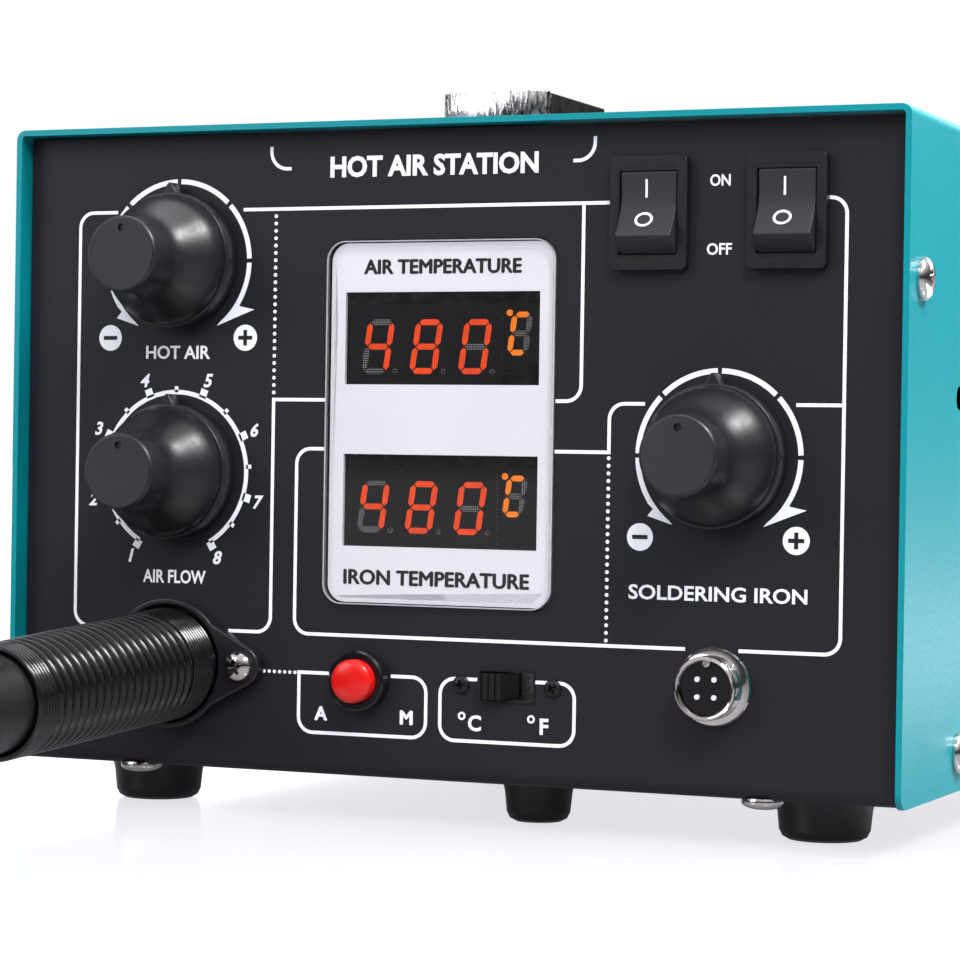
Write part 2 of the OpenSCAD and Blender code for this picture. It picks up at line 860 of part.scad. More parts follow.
module inlet_pins() {
    color("gainsboro") on_rear(inlet_at[0], inlet_at[1]) {
        for (p = [[-7, -2], [7, -2], [0, 2]]) translate([p[0], p[1], 0]) box(2, 4, -28, 26);
    }
}

module fuse_holder() {
    color("#151517") on_rear(fuse_at[0], fuse_at[1]) {
        disc(6.5, -28, 28.1);
        difference() {
            rotate_extrude() polygon([
                [0, 0], [8.5, 0], [8.5, 2], [7.2, 3], [7.2, 10], [6.6, 10.8], [0, 10.8]
            ]);
            box(9, 1.4, 9.6, 3);
        }
    }
}

// ---------- inside ----------

pump_x = -48;
pump_y = 0;
pump = [74, 118, 52];
pump_z = foot_h + sheet + 9;
pump_mount_ys = [pump_y - 42, pump_y + 42];

module pump_mounts() {
    color("#2b2b2e") for (s = [-1, 1], y = pump_mount_ys) translate([pump_x + s * 24, y, foot_h + sheet]) {
        cylinder(r = 7, h = 8.9);
        translate([0, 0, -2.8]) cylinder(r = 2, h = 3);
    }
}

module air_pump() {
    color("#3c4148") translate([pump_x, pump_y, pump_z]) difference() {
        union() {
            translate([-pump[0] / 2, -pump[1] / 2, 0]) cube([pump[0], pump[1], 6]);
            translate([-30, -44, 5]) cube([60, 88, pump[2] - 16]);
            for (e = [-1, 1]) translate([0, e * 44, 26]) rotate([90, 0, 0]) {
                cylinder(r = 21, h = 16, center = true);
            }
            translate([-18, -16, pump[2] - 12]) cube([36, 32, 16]);
        }
        translate([0, -pump[1] / 2 - 1, 34]) rotate([-90, 0, 0]) cylinder(r = 3.2, h = 14);
    }
}

transformer_at = [46, 62];

module transformer() {
    color("#6b6258") translate([transformer_at[0], transformer_at[1], foot_h + sheet]) {
        translate([-33, -17, 3]) cube([66, 34, 56]);
        translate([-20, -26, 12]) cube([40, 52, 38]);
        for (s = [-1, 1]) translate([s * 35 - 7, -10, 0]) cube([14, 20, 3.1]);
    }
}

board = [80, 112];
board_at = [46, -34];

module main_board() {
    color("#1d5a35") translate([board_at[0], board_at[1], foot_h + sheet]) {
        translate([-board[0] / 2, -board[1] / 2, 8]) cube([board[0], board[1], 1.6]);
        for (sx = [-1, 1], sy = [-1, 1]) translate([sx * (board[0] / 2 - 4), sy * (board[1] / 2 - 4), 0]) {
            cylinder(r = 3, h = 8.1);
        }
        for (k = [0:2]) translate([-28 + k * 17, 18, 9.5]) cylinder(r = 6.5, h = 22);
        translate([-36, -44, 9.5]) cube([14, 62, 18]);
        translate([0, -10, 9.5]) cube([26, 20, 14]);
        for (k = [0:3]) translate([-10 + k * 11, -50, 9.5]) cube([8, 10, 9]);
    }
}

// ---------- one node at a time ----------

chassis();
cover();
cover_screws();
handle_strap();
handle_block_front();
handle_block_rear();
handle_noses();
handle_screws();
foot_front_left();
foot_front_right();
foot_rear_left();
foot_rear_right();
centre_foot();
foot_screws();
base_screws();
display_lens();
display_plate();
air_display();
iron_display();
display_board();
heat_pot();
flow_pot();
iron_pot();
heat_shaft();
flow_shaft();
iron_shaft();
heat_knob();
flow_knob();
iron_knob();
panel_nuts();
air_switch_housing();
iron_switch_housing();
air_rocker();
iron_rocker();
button_housing();
button_cap();
slide_switch_body();
slide_actuator();
slide_screws();
socket_shell();
socket_insert();
socket_pins();
hose_flange();
flange_screws();
hose_boot();
outlet_pipe();
hose();
hose_coil();
hose_tail();
gun_grip();
gun_barrel();
gun_nozzle();
gun_heater();
mains_inlet();
inlet_pins();
fuse_holder();
transformer();
air_pump();
pump_mounts();
main_board();
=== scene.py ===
"""Hot-air and soldering station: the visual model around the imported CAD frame. Sizes are in millimetres."""
import math

import bmesh
import bpy
from mathutils import Matrix, Vector


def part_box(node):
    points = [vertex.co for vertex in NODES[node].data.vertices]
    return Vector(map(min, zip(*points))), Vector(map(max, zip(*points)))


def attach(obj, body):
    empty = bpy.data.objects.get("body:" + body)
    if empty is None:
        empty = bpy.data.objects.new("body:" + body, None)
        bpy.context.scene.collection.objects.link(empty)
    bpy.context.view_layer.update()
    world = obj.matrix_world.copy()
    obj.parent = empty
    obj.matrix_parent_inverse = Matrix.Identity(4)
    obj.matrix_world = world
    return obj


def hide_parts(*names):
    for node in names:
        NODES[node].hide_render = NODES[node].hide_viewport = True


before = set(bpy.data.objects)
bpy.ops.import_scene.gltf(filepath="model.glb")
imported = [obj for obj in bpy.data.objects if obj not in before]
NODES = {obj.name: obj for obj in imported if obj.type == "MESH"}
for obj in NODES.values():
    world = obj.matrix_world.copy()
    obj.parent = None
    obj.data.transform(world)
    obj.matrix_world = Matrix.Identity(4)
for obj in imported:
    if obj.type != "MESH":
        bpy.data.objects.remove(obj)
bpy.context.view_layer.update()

MM = 0.001


def middle(node):
    lo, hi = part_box(node)
    return (lo + hi) / 2 / MM


def lowest(node):
    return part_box(node)[0] / MM


def highest(node):
    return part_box(node)[1] / MM


def add(name, data):
    """A new object in the scene."""
    made = bpy.data.objects.new(name, data)
    bpy.context.scene.collection.objects.link(made)
    return made


# ---------- camera ----------

YAW, PITCH, ROLL = math.radians(23.088), math.radians(-0.385), math.radians(0.887)
CAMERA_AT = Vector((242.1, -666.8, 71.15))
SENSOR_W, FOCAL_LENGTH = 36, 116.44

camera = add("camera", bpy.data.cameras.new("camera"))
camera.data.sensor_width, camera.data.lens = SENSOR_W, FOCAL_LENGTH
forward = Vector((-math.sin(YAW) * math.cos(PITCH), math.cos(YAW) * math.cos(PITCH), math.sin(PITCH)))
level = Vector((math.cos(YAW), math.sin(YAW), 0))
right = math.cos(ROLL) * level + math.sin(ROLL) * level.cross(forward)
above = right.cross(forward)
axes = Matrix((right, above, -forward)).transposed()
camera.matrix_world = Matrix.Translation(CAMERA_AT * MM) @ axes.to_4x4()
bpy.context.scene.camera = camera

# ---------- materials ----------


def srgb(*levels):
    """Linear colour from 0 to 255 levels."""
    shares = [c / 255 for c in levels]
    return [c / 12.92 if c <= 0.04045 else ((c + 0.055) / 1.055) ** 2.4 for c in shares] + [1]


class Finish:
    """A material in the making: one Principled shader and the nodes that feed it, on object coordinates."""

    def __init__(self, name, **constant):
        self.material = bpy.data.materials.new(name)
        self.material.use_nodes = True
        self.tree = self.material.node_tree
        self.shader = self.tree.nodes["Principled BSDF"]
        self.place = self.tree.nodes.new("ShaderNodeTexCoord").outputs["Object"]
        for socket, value in constant.items():
            self.shader.inputs[socket.replace("_", " ")].default_value = value

    def node(self, kind, inputs, **settings):
        made = self.tree.nodes.new(kind)
        for name, value in settings.items():
            setattr(made, name, value)
        for key, value in inputs.items():
            if isinstance(value, bpy.types.NodeSocket):
                self.tree.links.new(value, made.inputs[key])
            else:
                made.inputs[key].default_value = value
        return made

    def math(self, operation, a, b=0.0):
        return self.node("ShaderNodeMath", {0: a, 1: b}, operation=operation).outputs[0]

    def axis(self, name):
        return self.node("ShaderNodeSeparateXYZ", {0: self.place}).outputs[name]

    def noise(self, size, detail=2.0, stretch=(1, 1, 1)):
        """Noise whose spots are about size millimetres across."""
        place = self.node("ShaderNodeMapping", {"Vector": self.place, "Scale": stretch}).outputs[0]
        inputs = {"Vector": place, "Scale": 1 / (size * MM), "Detail": detail}
        return self.node("ShaderNodeTexNoise", inputs).outputs["Fac"]

    def between(self, value, low, high, start=0.3, end=0.7):
        inputs = {"Value": value, "From Min": start, "From Max": end, "To Min": low, "To Max": high}
        return self.node("ShaderNodeMapRange", inputs).outputs[0]

    def mix(self, share, a, b):
        """Colour a where share is 0 and colour b where it is 1."""
        return self.node("ShaderNodeMix", {0: share, 6: a, 7: b}, data_type="RGBA").outputs[2]

    def feed(self, socket, value):
        self.tree.links.new(value, self.shader.inputs[socket])

    def relief(self, height, depth):
        """A bump of depth millimetres."""
        inputs = {"Height": height, "Distance": depth * MM, "Strength": 1.0}
        return self.node("ShaderNodeBump", inputs).outputs[0]


def moulded(name, colour, rough, grain=0.4, depth=0.02, patch=25, spread=0.2, stretch=(1, 1, 1), **constant):
    """A fine-grained surface: colour drifts over patches, roughness and relief follow the grain."""
    made = Finish(name, **constant)
    dark = [c * (1 - spread) for c in colour[:3]] + [1]
    light = [min(1, c * (1 + spread)) for c in colour[:3]] + [1]
    drift = made.between(made.noise(patch, 3), 0, 0.6)
    speck = made.between(made.noise(grain, 1, stretch), 0, 0.4)
    made.feed("Base Color", made.mix(made.math("ADD", drift, speck), dark, light))
    made.feed("Roughness", made.between(made.noise(grain * 1.7, 2, stretch), rough[0], rough[1]))
    made.feed("Normal", made.relief(made.noise(grain, 2, stretch), depth))
    return made.material


PAINTED = dict(grain=0.45, patch=60, spread=0.07)
TEAL = moulded(
    "teal_paint", srgb(0, 130, 140), (0.3, 0.4), depth=0.03, Specular_IOR_Level=0.36, **PAINTED
)
BLACK_PAINT = moulded(
    "black_paint", srgb(30, 28, 35), (0.4, 0.52), depth=0.03, Specular_IOR_Level=0.25, **PAINTED
)
BLACK_PLASTIC = moulded("black_plastic", srgb(21, 20, 24), (0.3, 0.4), grain=0.5, depth=0.002, spread=0.08)
MATT_PLASTIC = moulded(
    "matt_plastic", srgb(43, 41, 45), (0.45, 0.62), grain=0.3, depth=0.03, Specular_IOR_Level=0.3
)
GLOSS_BLACK = moulded("gloss_black", srgb(11, 11, 13), (0.16, 0.24), grain=1.2, depth=0.003)
RUBBER = moulded("rubber", srgb(17, 17, 19), (0.34, 0.46), grain=0.8, depth=0.008)
RED = moulded("red_plastic", srgb(200, 22, 18), (0.14, 0.24), grain=2, depth=0.01, spread=0.06)
CHROME = moulded("chrome", srgb(208, 203, 200), (0.05, 0.14), grain=1.5, spread=0.08, Metallic=1.0)
STEEL = moulded(
    "steel", srgb(190, 190, 190), (0.22, 0.36), grain=0.6, stretch=(1, 0.05, 1), spread=0.12, Metallic=1.0
)
SILVER = moulded(
    "silver_plate", srgb(218, 216, 223), (0.42, 0.6), grain=0.28, depth=0.02, patch=30, spread=0.05,
    Metallic=0.05,
)
CAST = moulded("cast_alloy", srgb(150, 152, 156), (0.4, 0.6), grain=0.9, depth=0.05, Metallic=0.9)
BRASS = moulded("brass", srgb(196, 160, 88), (0.2, 0.35), grain=0.6, Metallic=1.0)
CERAMIC = moulded("ceramic", srgb(226, 220, 205), (0.6, 0.75), grain=0.7)
BOARD = moulded("circuit_board", srgb(26, 96, 52), (0.25, 0.4), grain=1.4)
IRON = moulded("iron_core", srgb(88, 84, 82), (0.35, 0.55), grain=0.8, stretch=(1, 8, 1), Metallic=0.6)
OXIDE = moulded("black_steel", srgb(26, 26, 28), (0.3, 0.45), grain=0.5, Metallic=0.4)
INK = moulded("white_ink", srgb(236, 238, 244), (0.5, 0.62), grain=0.5, depth=0.01, spread=0.03)
DARK_INK = moulded("dark_ink", srgb(14, 14, 16), (0.5, 0.62), grain=0.5, depth=0.01)


def clear_lens():
    """Clear acrylic: its flat faces let the light through, and its cut edges are milky."""
    ior, flat_from, milkiness = 1.49, 0.97, 0.2
    made = Finish("clear_lens", Base_Color=srgb(214, 216, 222), IOR=ior)
    made.feed("Roughness", made.between(made.noise(6), 0.05, 0.09))
    surface = made.tree.nodes.new("ShaderNodeNewGeometry").outputs
    facing = made.node("ShaderNodeSeparateXYZ", {0: surface["True Normal"]}).outputs["Y"]
    flat = made.math("GREATER_THAN", made.math("ABSOLUTE", facing), flat_from)
    see_through = made.node("ShaderNodeBsdfTransparent", {0: srgb(254, 254, 254)}).outputs[0]
    shine = made.node("ShaderNodeBsdfGlossy", {"Roughness": 0.04}).outputs[0]
    # Light that leaves the pane from inside meets the inverse index
    index = made.between(surface["Backfacing"], ior, 1 / ior, 0, 1)
    fresnel = made.node("ShaderNodeFresnel", {"IOR": index}).outputs[0]
    pane = made.node("ShaderNodeMixShader", {0: fresnel, 1: see_through, 2: shine}).outputs[0]
    body = made.shader.outputs[0]
    milky = made.node("ShaderNodeMixShader", {0: milkiness, 1: see_through, 2: body}).outputs[0]
    both = made.node("ShaderNodeMixShader", {0: flat, 1: milky, 2: pane}).outputs[0]
    made.tree.links.new(both, made.tree.nodes["Material Output"].inputs["Surface"])
    return made.material


def chrome_with_painted_reflection():
    """Chrome with a painted reflection: white toward one end and near black toward the other, with slanting
    marks that thicken and darken toward the dark end; the marks also give its relief.
    """
    made = Finish("chrome_with_painted_reflection", Metallic=1.0)
    along = made.math("ADD", made.axis("X"), made.math("MULTIPLY", made.axis("Z"), -0.9))
    marks = made.noise(1.3, 3, (2.2, 1, 0.5))
    share = made.math("ADD", made.between(along, -0.32, 0.62, -0.155, -0.095), marks)
    # Painted reflection: the colour runs from white to near black along the nose, and the marks make the edge
    # between them ragged.
    painted_reflection = made.between(share, 0, 1, 0.62, 0.9)
    made.feed("Base Color", made.mix(painted_reflection, srgb(250, 248, 250), srgb(22, 22, 30)))
    made.feed("Roughness", made.between(made.noise(2), 0.12, 0.24))
    made.feed("Normal", made.relief(marks, 0.12))
    return made.material


CHROME_WITH_PAINTED_REFLECTION = chrome_with_painted_reflection()
LENS = clear_lens()
# Painted highlight: a pale, glossy, half-clear strip that stands for the light caught on the lens's rounded
# front edge.
LENS_EDGE_HIGHLIGHT = moulded("lens_edge_highlight", srgb(176, 178, 184), (0.1, 0.2), grain=2, depth=0.003, Alpha=0.75)
LED_PITCH = 0.44


def led_stripes(made, axis="X", gap=0.22):
    """1 on a dash and 0 in the gap before it, along an axis."""
    step = made.math("FRACT", made.math("MULTIPLY", made.axis(axis), 1 / (LED_PITCH * MM)))
    return made.math("GREATER_THAN", step, gap)


def led_lit(name, colour, strength):
    made = Finish(name, Base_Color=srgb(60, 10, 4), Roughness=0.4)
    made.shader.inputs["Emission Color"].default_value = colour
    glow = made.between(made.noise(2.5), 0.85, 1.1)
    lit = made.between(led_stripes(made), 0.45 * strength, strength, 0, 1)
    made.feed("Emission Strength", made.math("MULTIPLY", lit, glow))
    return made.material


LED_RED = led_lit("led_red", [1.0, 0.075, 0.002, 1], 0.95)
LED_AMBER = led_lit("led_amber", [1.0, 0.24, 0.008, 1], 1.15)


def led_grid(made, gap):
    """1 on a grid of square spots and 0 in the gaps between them."""
    return made.math("MULTIPLY", *(led_stripes(made, axis, gap) for axis in "XZ"))


def led_mask():
    """The display's grid of fine metallic lines round black holes."""
    made = Finish("led_mask")
    hole = led_grid(made, 0.34)
    made.feed("Base Color", made.mix(hole, srgb(44, 45, 50), srgb(3, 3, 5)))
    made.feed("Metallic", made.math("SUBTRACT", 1.0, hole))
    made.feed("Roughness", made.between(hole, 0.28, 0.5, 0, 1))
    return made.material


def led_unlit():
    """Pale dots on black."""
    made = Finish("led_unlit", Roughness=0.5)
    made.feed("Base Color", made.mix(led_grid(made, 0.55), srgb(8, 8, 10), srgb(158, 160, 164)))
    return made.material


LED_MASK = led_mask()
LED_UNLIT = led_unlit()
LED_BLACK = moulded("led_black", srgb(9, 9, 12), (0.18, 0.3), grain=1.5, depth=0.01)

BY_SLOT = {
    "teal_paint": TEAL, "black_paint": BLACK_PAINT, "chrome": CHROME, "steel": STEEL, "silver_plate": SILVER,
    "clear_lens": LENS, "black_plastic": BLACK_PLASTIC, "gloss_black": GLOSS_BLACK, "red_plastic": RED,
    "rubber": RUBBER, "brass": BRASS, "ceramic": CERAMIC, "circuit_board": BOARD, "iron_core": IRON,
    "cast_alloy": CAST, "black_steel": OXIDE,
}
for part in NODES.values():
    for holder in part.material_slots:
        holder.material = BY_SLOT[holder.material.name.split(".")[0]]

# ---------- places: each turns a piece's own millimetres into the whole object's ----------

PANEL_Y = lowest("chassis").y
FRONT_Y = lowest("cover").y
SIDE_X = highest("cover").x
BASE_Z = lowest("chassis").z
# Heights on the panel are counted from a level this far below the case
DATUM = BASE_Z - 7.2
# Printed ink starts just inside a surface and stands a little proud of it
INK_LOW, INK_HIGH = -0.02, 0.05


def on_panel(cx, cz, rise=0.0):
    return lambda x, y, z: (cx + x, PANEL_Y - rise - z, cz + y)


def on_side(side, cy, cz):
    return lambda x, y, z: (side * (SIDE_X + z), cy + side * x, cz + y)


def on_top(cx, cy, cz):
    return lambda x, y, z: (cx + x, cy + y, cz + z)


def under_base(cx, cy):
    return lambda x, y, z: (cx + x, cy - y, BASE_Z - z)


# ---------- shapes as (corners, faces) in a piece's own millimetres ----------


def lathe(profile, steps=64, closed=False):
    """A profile of (radius, height) points turned about the z axis."""
    corners, rings, faces = [], [], []
    for r, z in profile:
        if r < 1e-6:
            rings.append([len(corners)] * steps)
            corners.append((0, 0, z))
        else:
            rings.append(range(len(corners), len(corners) + steps))
            for k in range(steps):
                turn = 2 * math.pi * k / steps
                corners.append((r * math.cos(turn), r * math.sin(turn), z))
    pairs = list(zip(rings, rings[1:] + rings[:1])) if closed else list(zip(rings, rings[1:]))
    for a, b in pairs:
        for k in range(steps):
            n = (k + 1) % steps
            quad = [a[k], a[n], b[n], b[k]]
            face = [c for i, c in enumerate(quad) if c not in quad[:i]]
            if len(face) > 2:
                faces.append(face)
    return corners, faces


def slab(outline, low, high, foot=1):
    """An outline of (x, y) points as a flat piece from low to high; foot scales its lower face."""
    n = len(outline)
    corners = [(x * s, y * s, z) for s, z in ((foot, low), (1, high)) for x, y in outline]
    faces = [list(range(n))[::-1], list(range(n, 2 * n))]
    faces += [[k, (k + 1) % n, n + (k + 1) % n, n + k] for k in range(n)]
    return corners, faces


def prism(outline, half_width):
    """An outline of (y, z) points as a piece that runs along x."""
    corners, faces = slab(outline, -half_width, half_width)
    return [(z, x, y) for x, y, z in corners], faces


def rect(x0, y0, x1, y1, low, high):
    return slab([(x0, y0), (x1, y0), (x1, y1), (x0, y1)], low, high)


def merge(*shapes):
    corners, faces = [], []
    for c, f in shapes:
        faces += [[i + len(corners) for i in face] for face in f]
        corners += c
    return corners, faces


def moved(shape, place):
    return [place(*c) for c in shape[0]], shape[1]


def arc(cx, cy, r, start, end, steps=12):
    """Points on a circle; angles in degrees, clockwise from the top as on a dial."""
    turns = [math.radians(start + (end - start) * k / steps) for k in range(steps + 1)]
    return [(cx + r * math.sin(a), cy + r * math.cos(a)) for a in turns]


def rounded(points, r, steps=8, closed=False):
    """The points with each corner between them turned into an arc of radius r."""
    made = []
    for i, p in enumerate(points):
        if not closed and i in (0, len(points) - 1):
            made.append(p)
            continue
        here, before, after = Vector(p), Vector(points[i - 1]), Vector(points[(i + 1) % len(points)])
        a, b = (before - here).normalized(), (after - here).normalized()
        half = a.angle(b) / 2
        centre = here + (a + b).normalized() * (r / math.sin(half))
        first, last = here + a * (r / math.tan(half)) - centre, here + b * (r / math.tan(half)) - centre
        sweep = first.angle_signed(last)
        for k in range(steps + 1):
            spoke = first.copy()
            spoke.rotate(Matrix.Rotation(-sweep * k / steps, 2))
            made.append(tuple(centre + spoke))
    return made


def round_rect(w, h, r, steps=6):
    x, y = w / 2, h / 2
    return rounded([(-x, -y), (x, -y), (x, y), (-x, y)], r, steps, closed=True)


def ribbon(points, width, low=INK_LOW, high=INK_HIGH, closed=False):
    """A flat stroke of ink along a path, mitred at its corners."""
    n, sides = len(points), []
    for i, p in enumerate(points):
        here = Vector(p)
        before = Vector(points[i - 1]) if closed or i else here
        after = Vector(points[(i + 1) % n]) if closed or i < n - 1 else here
        a, b = (here - before).normalized(), (after - here).normalized()
        along = (a + b).normalized()
        across, stretch = Vector((-along.y, along.x)), b if b.length else a
        reach = width / 2 / max(0.3, abs(across.dot(Vector((-stretch.y, stretch.x)))))
        sides.append((here + across * reach, here - across * reach))
    corners = [(v.x, v.y, z) for pair in sides for v in pair for z in (low, high)]
    faces = []
    for i in range(n if closed else n - 1):
        p, q = 4 * i, 4 * ((i + 1) % n)
        faces += [[p + 1, p + 3, q + 3, q + 1], [p, q, q + 2, p + 2]]
        faces += [[p, p + 1, q + 1, q], [p + 2, q + 2, q + 3, p + 3]]
    if not closed:
        last = 4 * (n - 1)
        faces += [[0, 2, 3, 1], [last, last + 1, last + 3, last + 2]]
    return corners, faces


def dot(x, y, r, low=INK_LOW, high=INK_HIGH, steps=16):
    return slab(arc(x, y, r, 0, 360 * (1 - 1 / steps), steps - 1), low, high)


def dots(start, end, pitch, r):
    """A dotted line."""
    a, b = Vector(start), Vector(end)
    count = round((b - a).length / pitch)
    return merge(*(dot(*a.lerp(b, k / count), r) for k in range(count + 1)))


def lettering(text, x, y, height, width=None, weight=0.02, lean=0.0):
    """Plain letters centred on (x, y), as tall as their capitals are to be."""
    curve = bpy.data.curves.new("lettering", "FONT")
    curve.body, curve.offset, curve.shear = text, weight, lean
    curve.extrude, curve.resolution_u = 0.1, 3
    holder = add("lettering", curve)
    mesh = bpy.data.meshes.new_from_object(holder.evaluated_get(bpy.context.evaluated_depsgraph_get()))
    points = [v.co.copy() for v in mesh.vertices]
    faces = [list(p.vertices) for p in mesh.polygons]
    bpy.data.objects.remove(holder)
    bpy.data.curves.remove(curve)
    bpy.data.meshes.remove(mesh)
    xs, ys = [p.x for p in points], [p.y for p in points]
    up = height / (max(ys) - min(ys))
    side = width / (max(xs) - min(xs)) if width else up
    mid_x, mid_y = (max(xs) + min(xs)) / 2, (max(ys) + min(ys)) / 2
    corners = []
    for p in points:
        corners.append((x + (p.x - mid_x) * side, y + (p.y - mid_y) * up, INK_HIGH if p.z > 0 else INK_LOW))
    return corners, faces


def bold(letters, spread=0.16):
    """The letters printed five times, a hair apart and each a little higher, to thicken their strokes."""
    corners, faces = letters
    steps = ((0, 0), (spread, 0), (-spread, 0), (0, spread * 0.7), (0, -spread * 0.7))
    prints = []
    for rank, (dx, dy) in enumerate(steps):
        prints.append(([(x + dx, y + dy, z + 0.004 * rank) for x, y, z in corners], faces))
    return merge(*prints)


# ---------- pieces ----------


def clean_mesh(name, corners, faces, weld):
    """A mesh whose corners closer than weld are joined, with its faces turned outward."""
    mesh = bpy.data.meshes.new(name)
    mesh.from_pydata(corners, [], faces)
    build = bmesh.new()
    build.from_mesh(mesh)
    bmesh.ops.remove_doubles(build, verts=build.verts, dist=weld)
    bmesh.ops.recalc_face_normals(build, faces=build.faces)
    build.to_mesh(mesh)
    build.free()
    return mesh


def piece(name, shape, place, material, body="root", slot=None, replaces=(), bevel=0.0, smooth=35, steps=2):
    """A shape in its place as a Blender object that rides on a body."""
    corners, faces = shape
    mesh = clean_mesh(name, [[c * MM for c in place(*corner)] for corner in corners], faces, weld=1e-7)
    mesh.materials.append(material)
    made = add(name, mesh)
    if bevel:
        edge = made.modifiers.new("edges", "BEVEL")
        edge.width, edge.segments, edge.limit_method = bevel * MM, steps, "ANGLE"
        edge.angle_limit = math.radians(smooth)
        edge.harden_normals = True
    for face in mesh.polygons:
        face.use_smooth = True
    mesh.set_sharp_from_angle(angle=math.radians(smooth))
    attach(made, body)
    if replaces:
        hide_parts(*replaces)
    return made


def as_is(x, y, z):
    return x, y, z


def carve(shape, *cutters):
    """The shape with the cutters taken away, by an exact boolean."""
    objects = [add("carve", clean_mesh("carve", *one, weld=1e-5)) for one in (shape, *cutters)]
    for cutter in objects[1:]:
        cut = objects[0].modifiers.new("cut", "BOOLEAN")
        cut.object, cut.operation, cut.solver = cutter, "DIFFERENCE", "EXACT"
    bpy.context.view_layer.update()
    result = bpy.data.meshes.new_from_object(objects[0].evaluated_get(bpy.context.evaluated_depsgraph_get()))
    made = [tuple(v.co) for v in result.vertices], [list(p.vertices) for p in result.polygons]
    for spent in objects:
        bpy.data.objects.remove(spent)
    return made


def screw_head(r, h, recess=0.62):
    """A domed pan head with a cross recess."""
    rim = 0.3
    dome = [(r * math.cos(t / 4), h * (rim + (1 - rim) * math.sin(t / 4))) for t in range(6)]
    head = lathe([(0, -0.3), (r * 0.96, -0.3), (r, 0.1)] + dome + [(0, h)], 40)
    arm, thin = r * recess, r * 0.13
    quarter = [(arm, -thin), (arm, thin), (thin * 1.5, thin * 1.5)]
    ways = ((1, 0), (0, 1), (-1, 0), (0, -1))
    cross = [(x * c - y * s, x * s + y * c) for c, s in ways for x, y in quarter]
    return carve(head, slab(cross, h * 0.1, h + 0.2, foot=0.45))


def screws(name, node, heads, material=CHROME, slot="chrome"):
    """Screw heads as one piece that stands for a node."""
    piece(name, merge(*heads), as_is, material, slot=slot, replaces=[node], smooth=30)


def turned(shape, degrees):
    c, s = math.cos(math.radians(degrees)), math.sin(math.radians(degrees))
    return [(x * c - y * s, x * s + y * c, z) for x, y, z in shape[0]], shape[1]


# ---------- hose: a free cord, from inside the strain relief to the handpiece ----------

HOSE_D = 16
hose_points = [
    (-58, -183, 25.9), (-58, -194, 25.2), (-58.3, -205, 23.9), (-60, -216, 22), (-63.5, -226.5, 19.6),
    (-69, -236.5, 16.8), (-76.5, -245.5, 14.1), (-85.5, -253, 11.7), (-95.5, -259, 9.8), (-106, -263.5, 8.7),
    (-117, -266.5, 8.2), (-128, -268.2, 8.1), (-139, -269, 8.1), (-150, -269, 8.1), (-162, -269, 8.1),
    (-174, -269, 8.1), (-186, -269, 8.1), (-198, -269, 8.1),
]
COIL_AT, COIL_R, COIL_TURN = (-210, -176), 93, 450
ON_BENCH, ON_COIL = 8.1, 24.6
CLIMB_FROM, CLIMB_OVER = 268, 80


def coil_height(turn):
    """The hose lies on the bench, then climbs over its own start in the last stretch of the first turn."""
    share = min(1, max(0, (turn - CLIMB_FROM) / CLIMB_OVER))
    return ON_BENCH + (ON_COIL - ON_BENCH) * share * share * (3 - 2 * share)


for turn in range(0, COIL_TURN + 1, 10):
    around = math.radians(-90 - turn)
    x, y = COIL_AT[0] + COIL_R * math.cos(around), COIL_AT[1] + COIL_R * math.sin(around)
    hose_points.append((x, y, coil_height(turn)))
hose_points += [
    (-303, -164, 24.5), (-303, -152, 23.8), (-303, -140, 22.6), (-303, -128, 20.4), (-303, -117, 18.5),
    (-303, -107, 17.4), (-303, -98, 17.1),
]


def hose():
    curve = bpy.data.curves.new("air_hose", "CURVE")
    curve.dimensions, curve.bevel_depth, curve.bevel_resolution = "3D", HOSE_D / 2 * MM, 8
    curve.use_fill_caps, curve.resolution_u = True, 4
    line = curve.splines.new("BEZIER")
    line.bezier_points.add(len(hose_points) - 1)
    for knot, point in zip(line.bezier_points, hose_points):
        knot.co = Vector(point) * MM
        knot.handle_left_type = knot.handle_right_type = "AUTO"
    curve.materials.append(GLOSS_BLACK)
    made = add("air_hose", curve)
    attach(made, "root")
    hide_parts("hose", "hose_coil", "hose_tail")
    return made


air_hose = hose()
BOOT_L, BOOT_LEAN, BOOT_R, MOUTH_R = 68, math.radians(3.2), 11.2, 9.7
outlet = middle("hose_flange")


def on_boot(x, y, z):
    """The strain relief's own frame: its axis leans down."""
    c, s = math.cos(BOOT_LEAN), math.sin(BOOT_LEAN)
    return outlet.x + x, PANEL_Y - (z * c + y * s), outlet.z + (y * c - z * s)


# ---------- strain relief ----------


def rib(start, pitch, r, deep, share=0.78, steps=6):
    """One rounded rib and the groove after it, as (radius, height) points."""
    made = []
    for k in range(steps + 1):
        u = -1 + 2 * k / steps
        crown = math.sqrt(max(0, 1 - u * u)) ** 0.7
        made.append((r - deep * (1 - crown), start + pitch * share * (k / steps)))
    return made + [(r - deep * 1.05, start + pitch * (share + 1) / 2)]


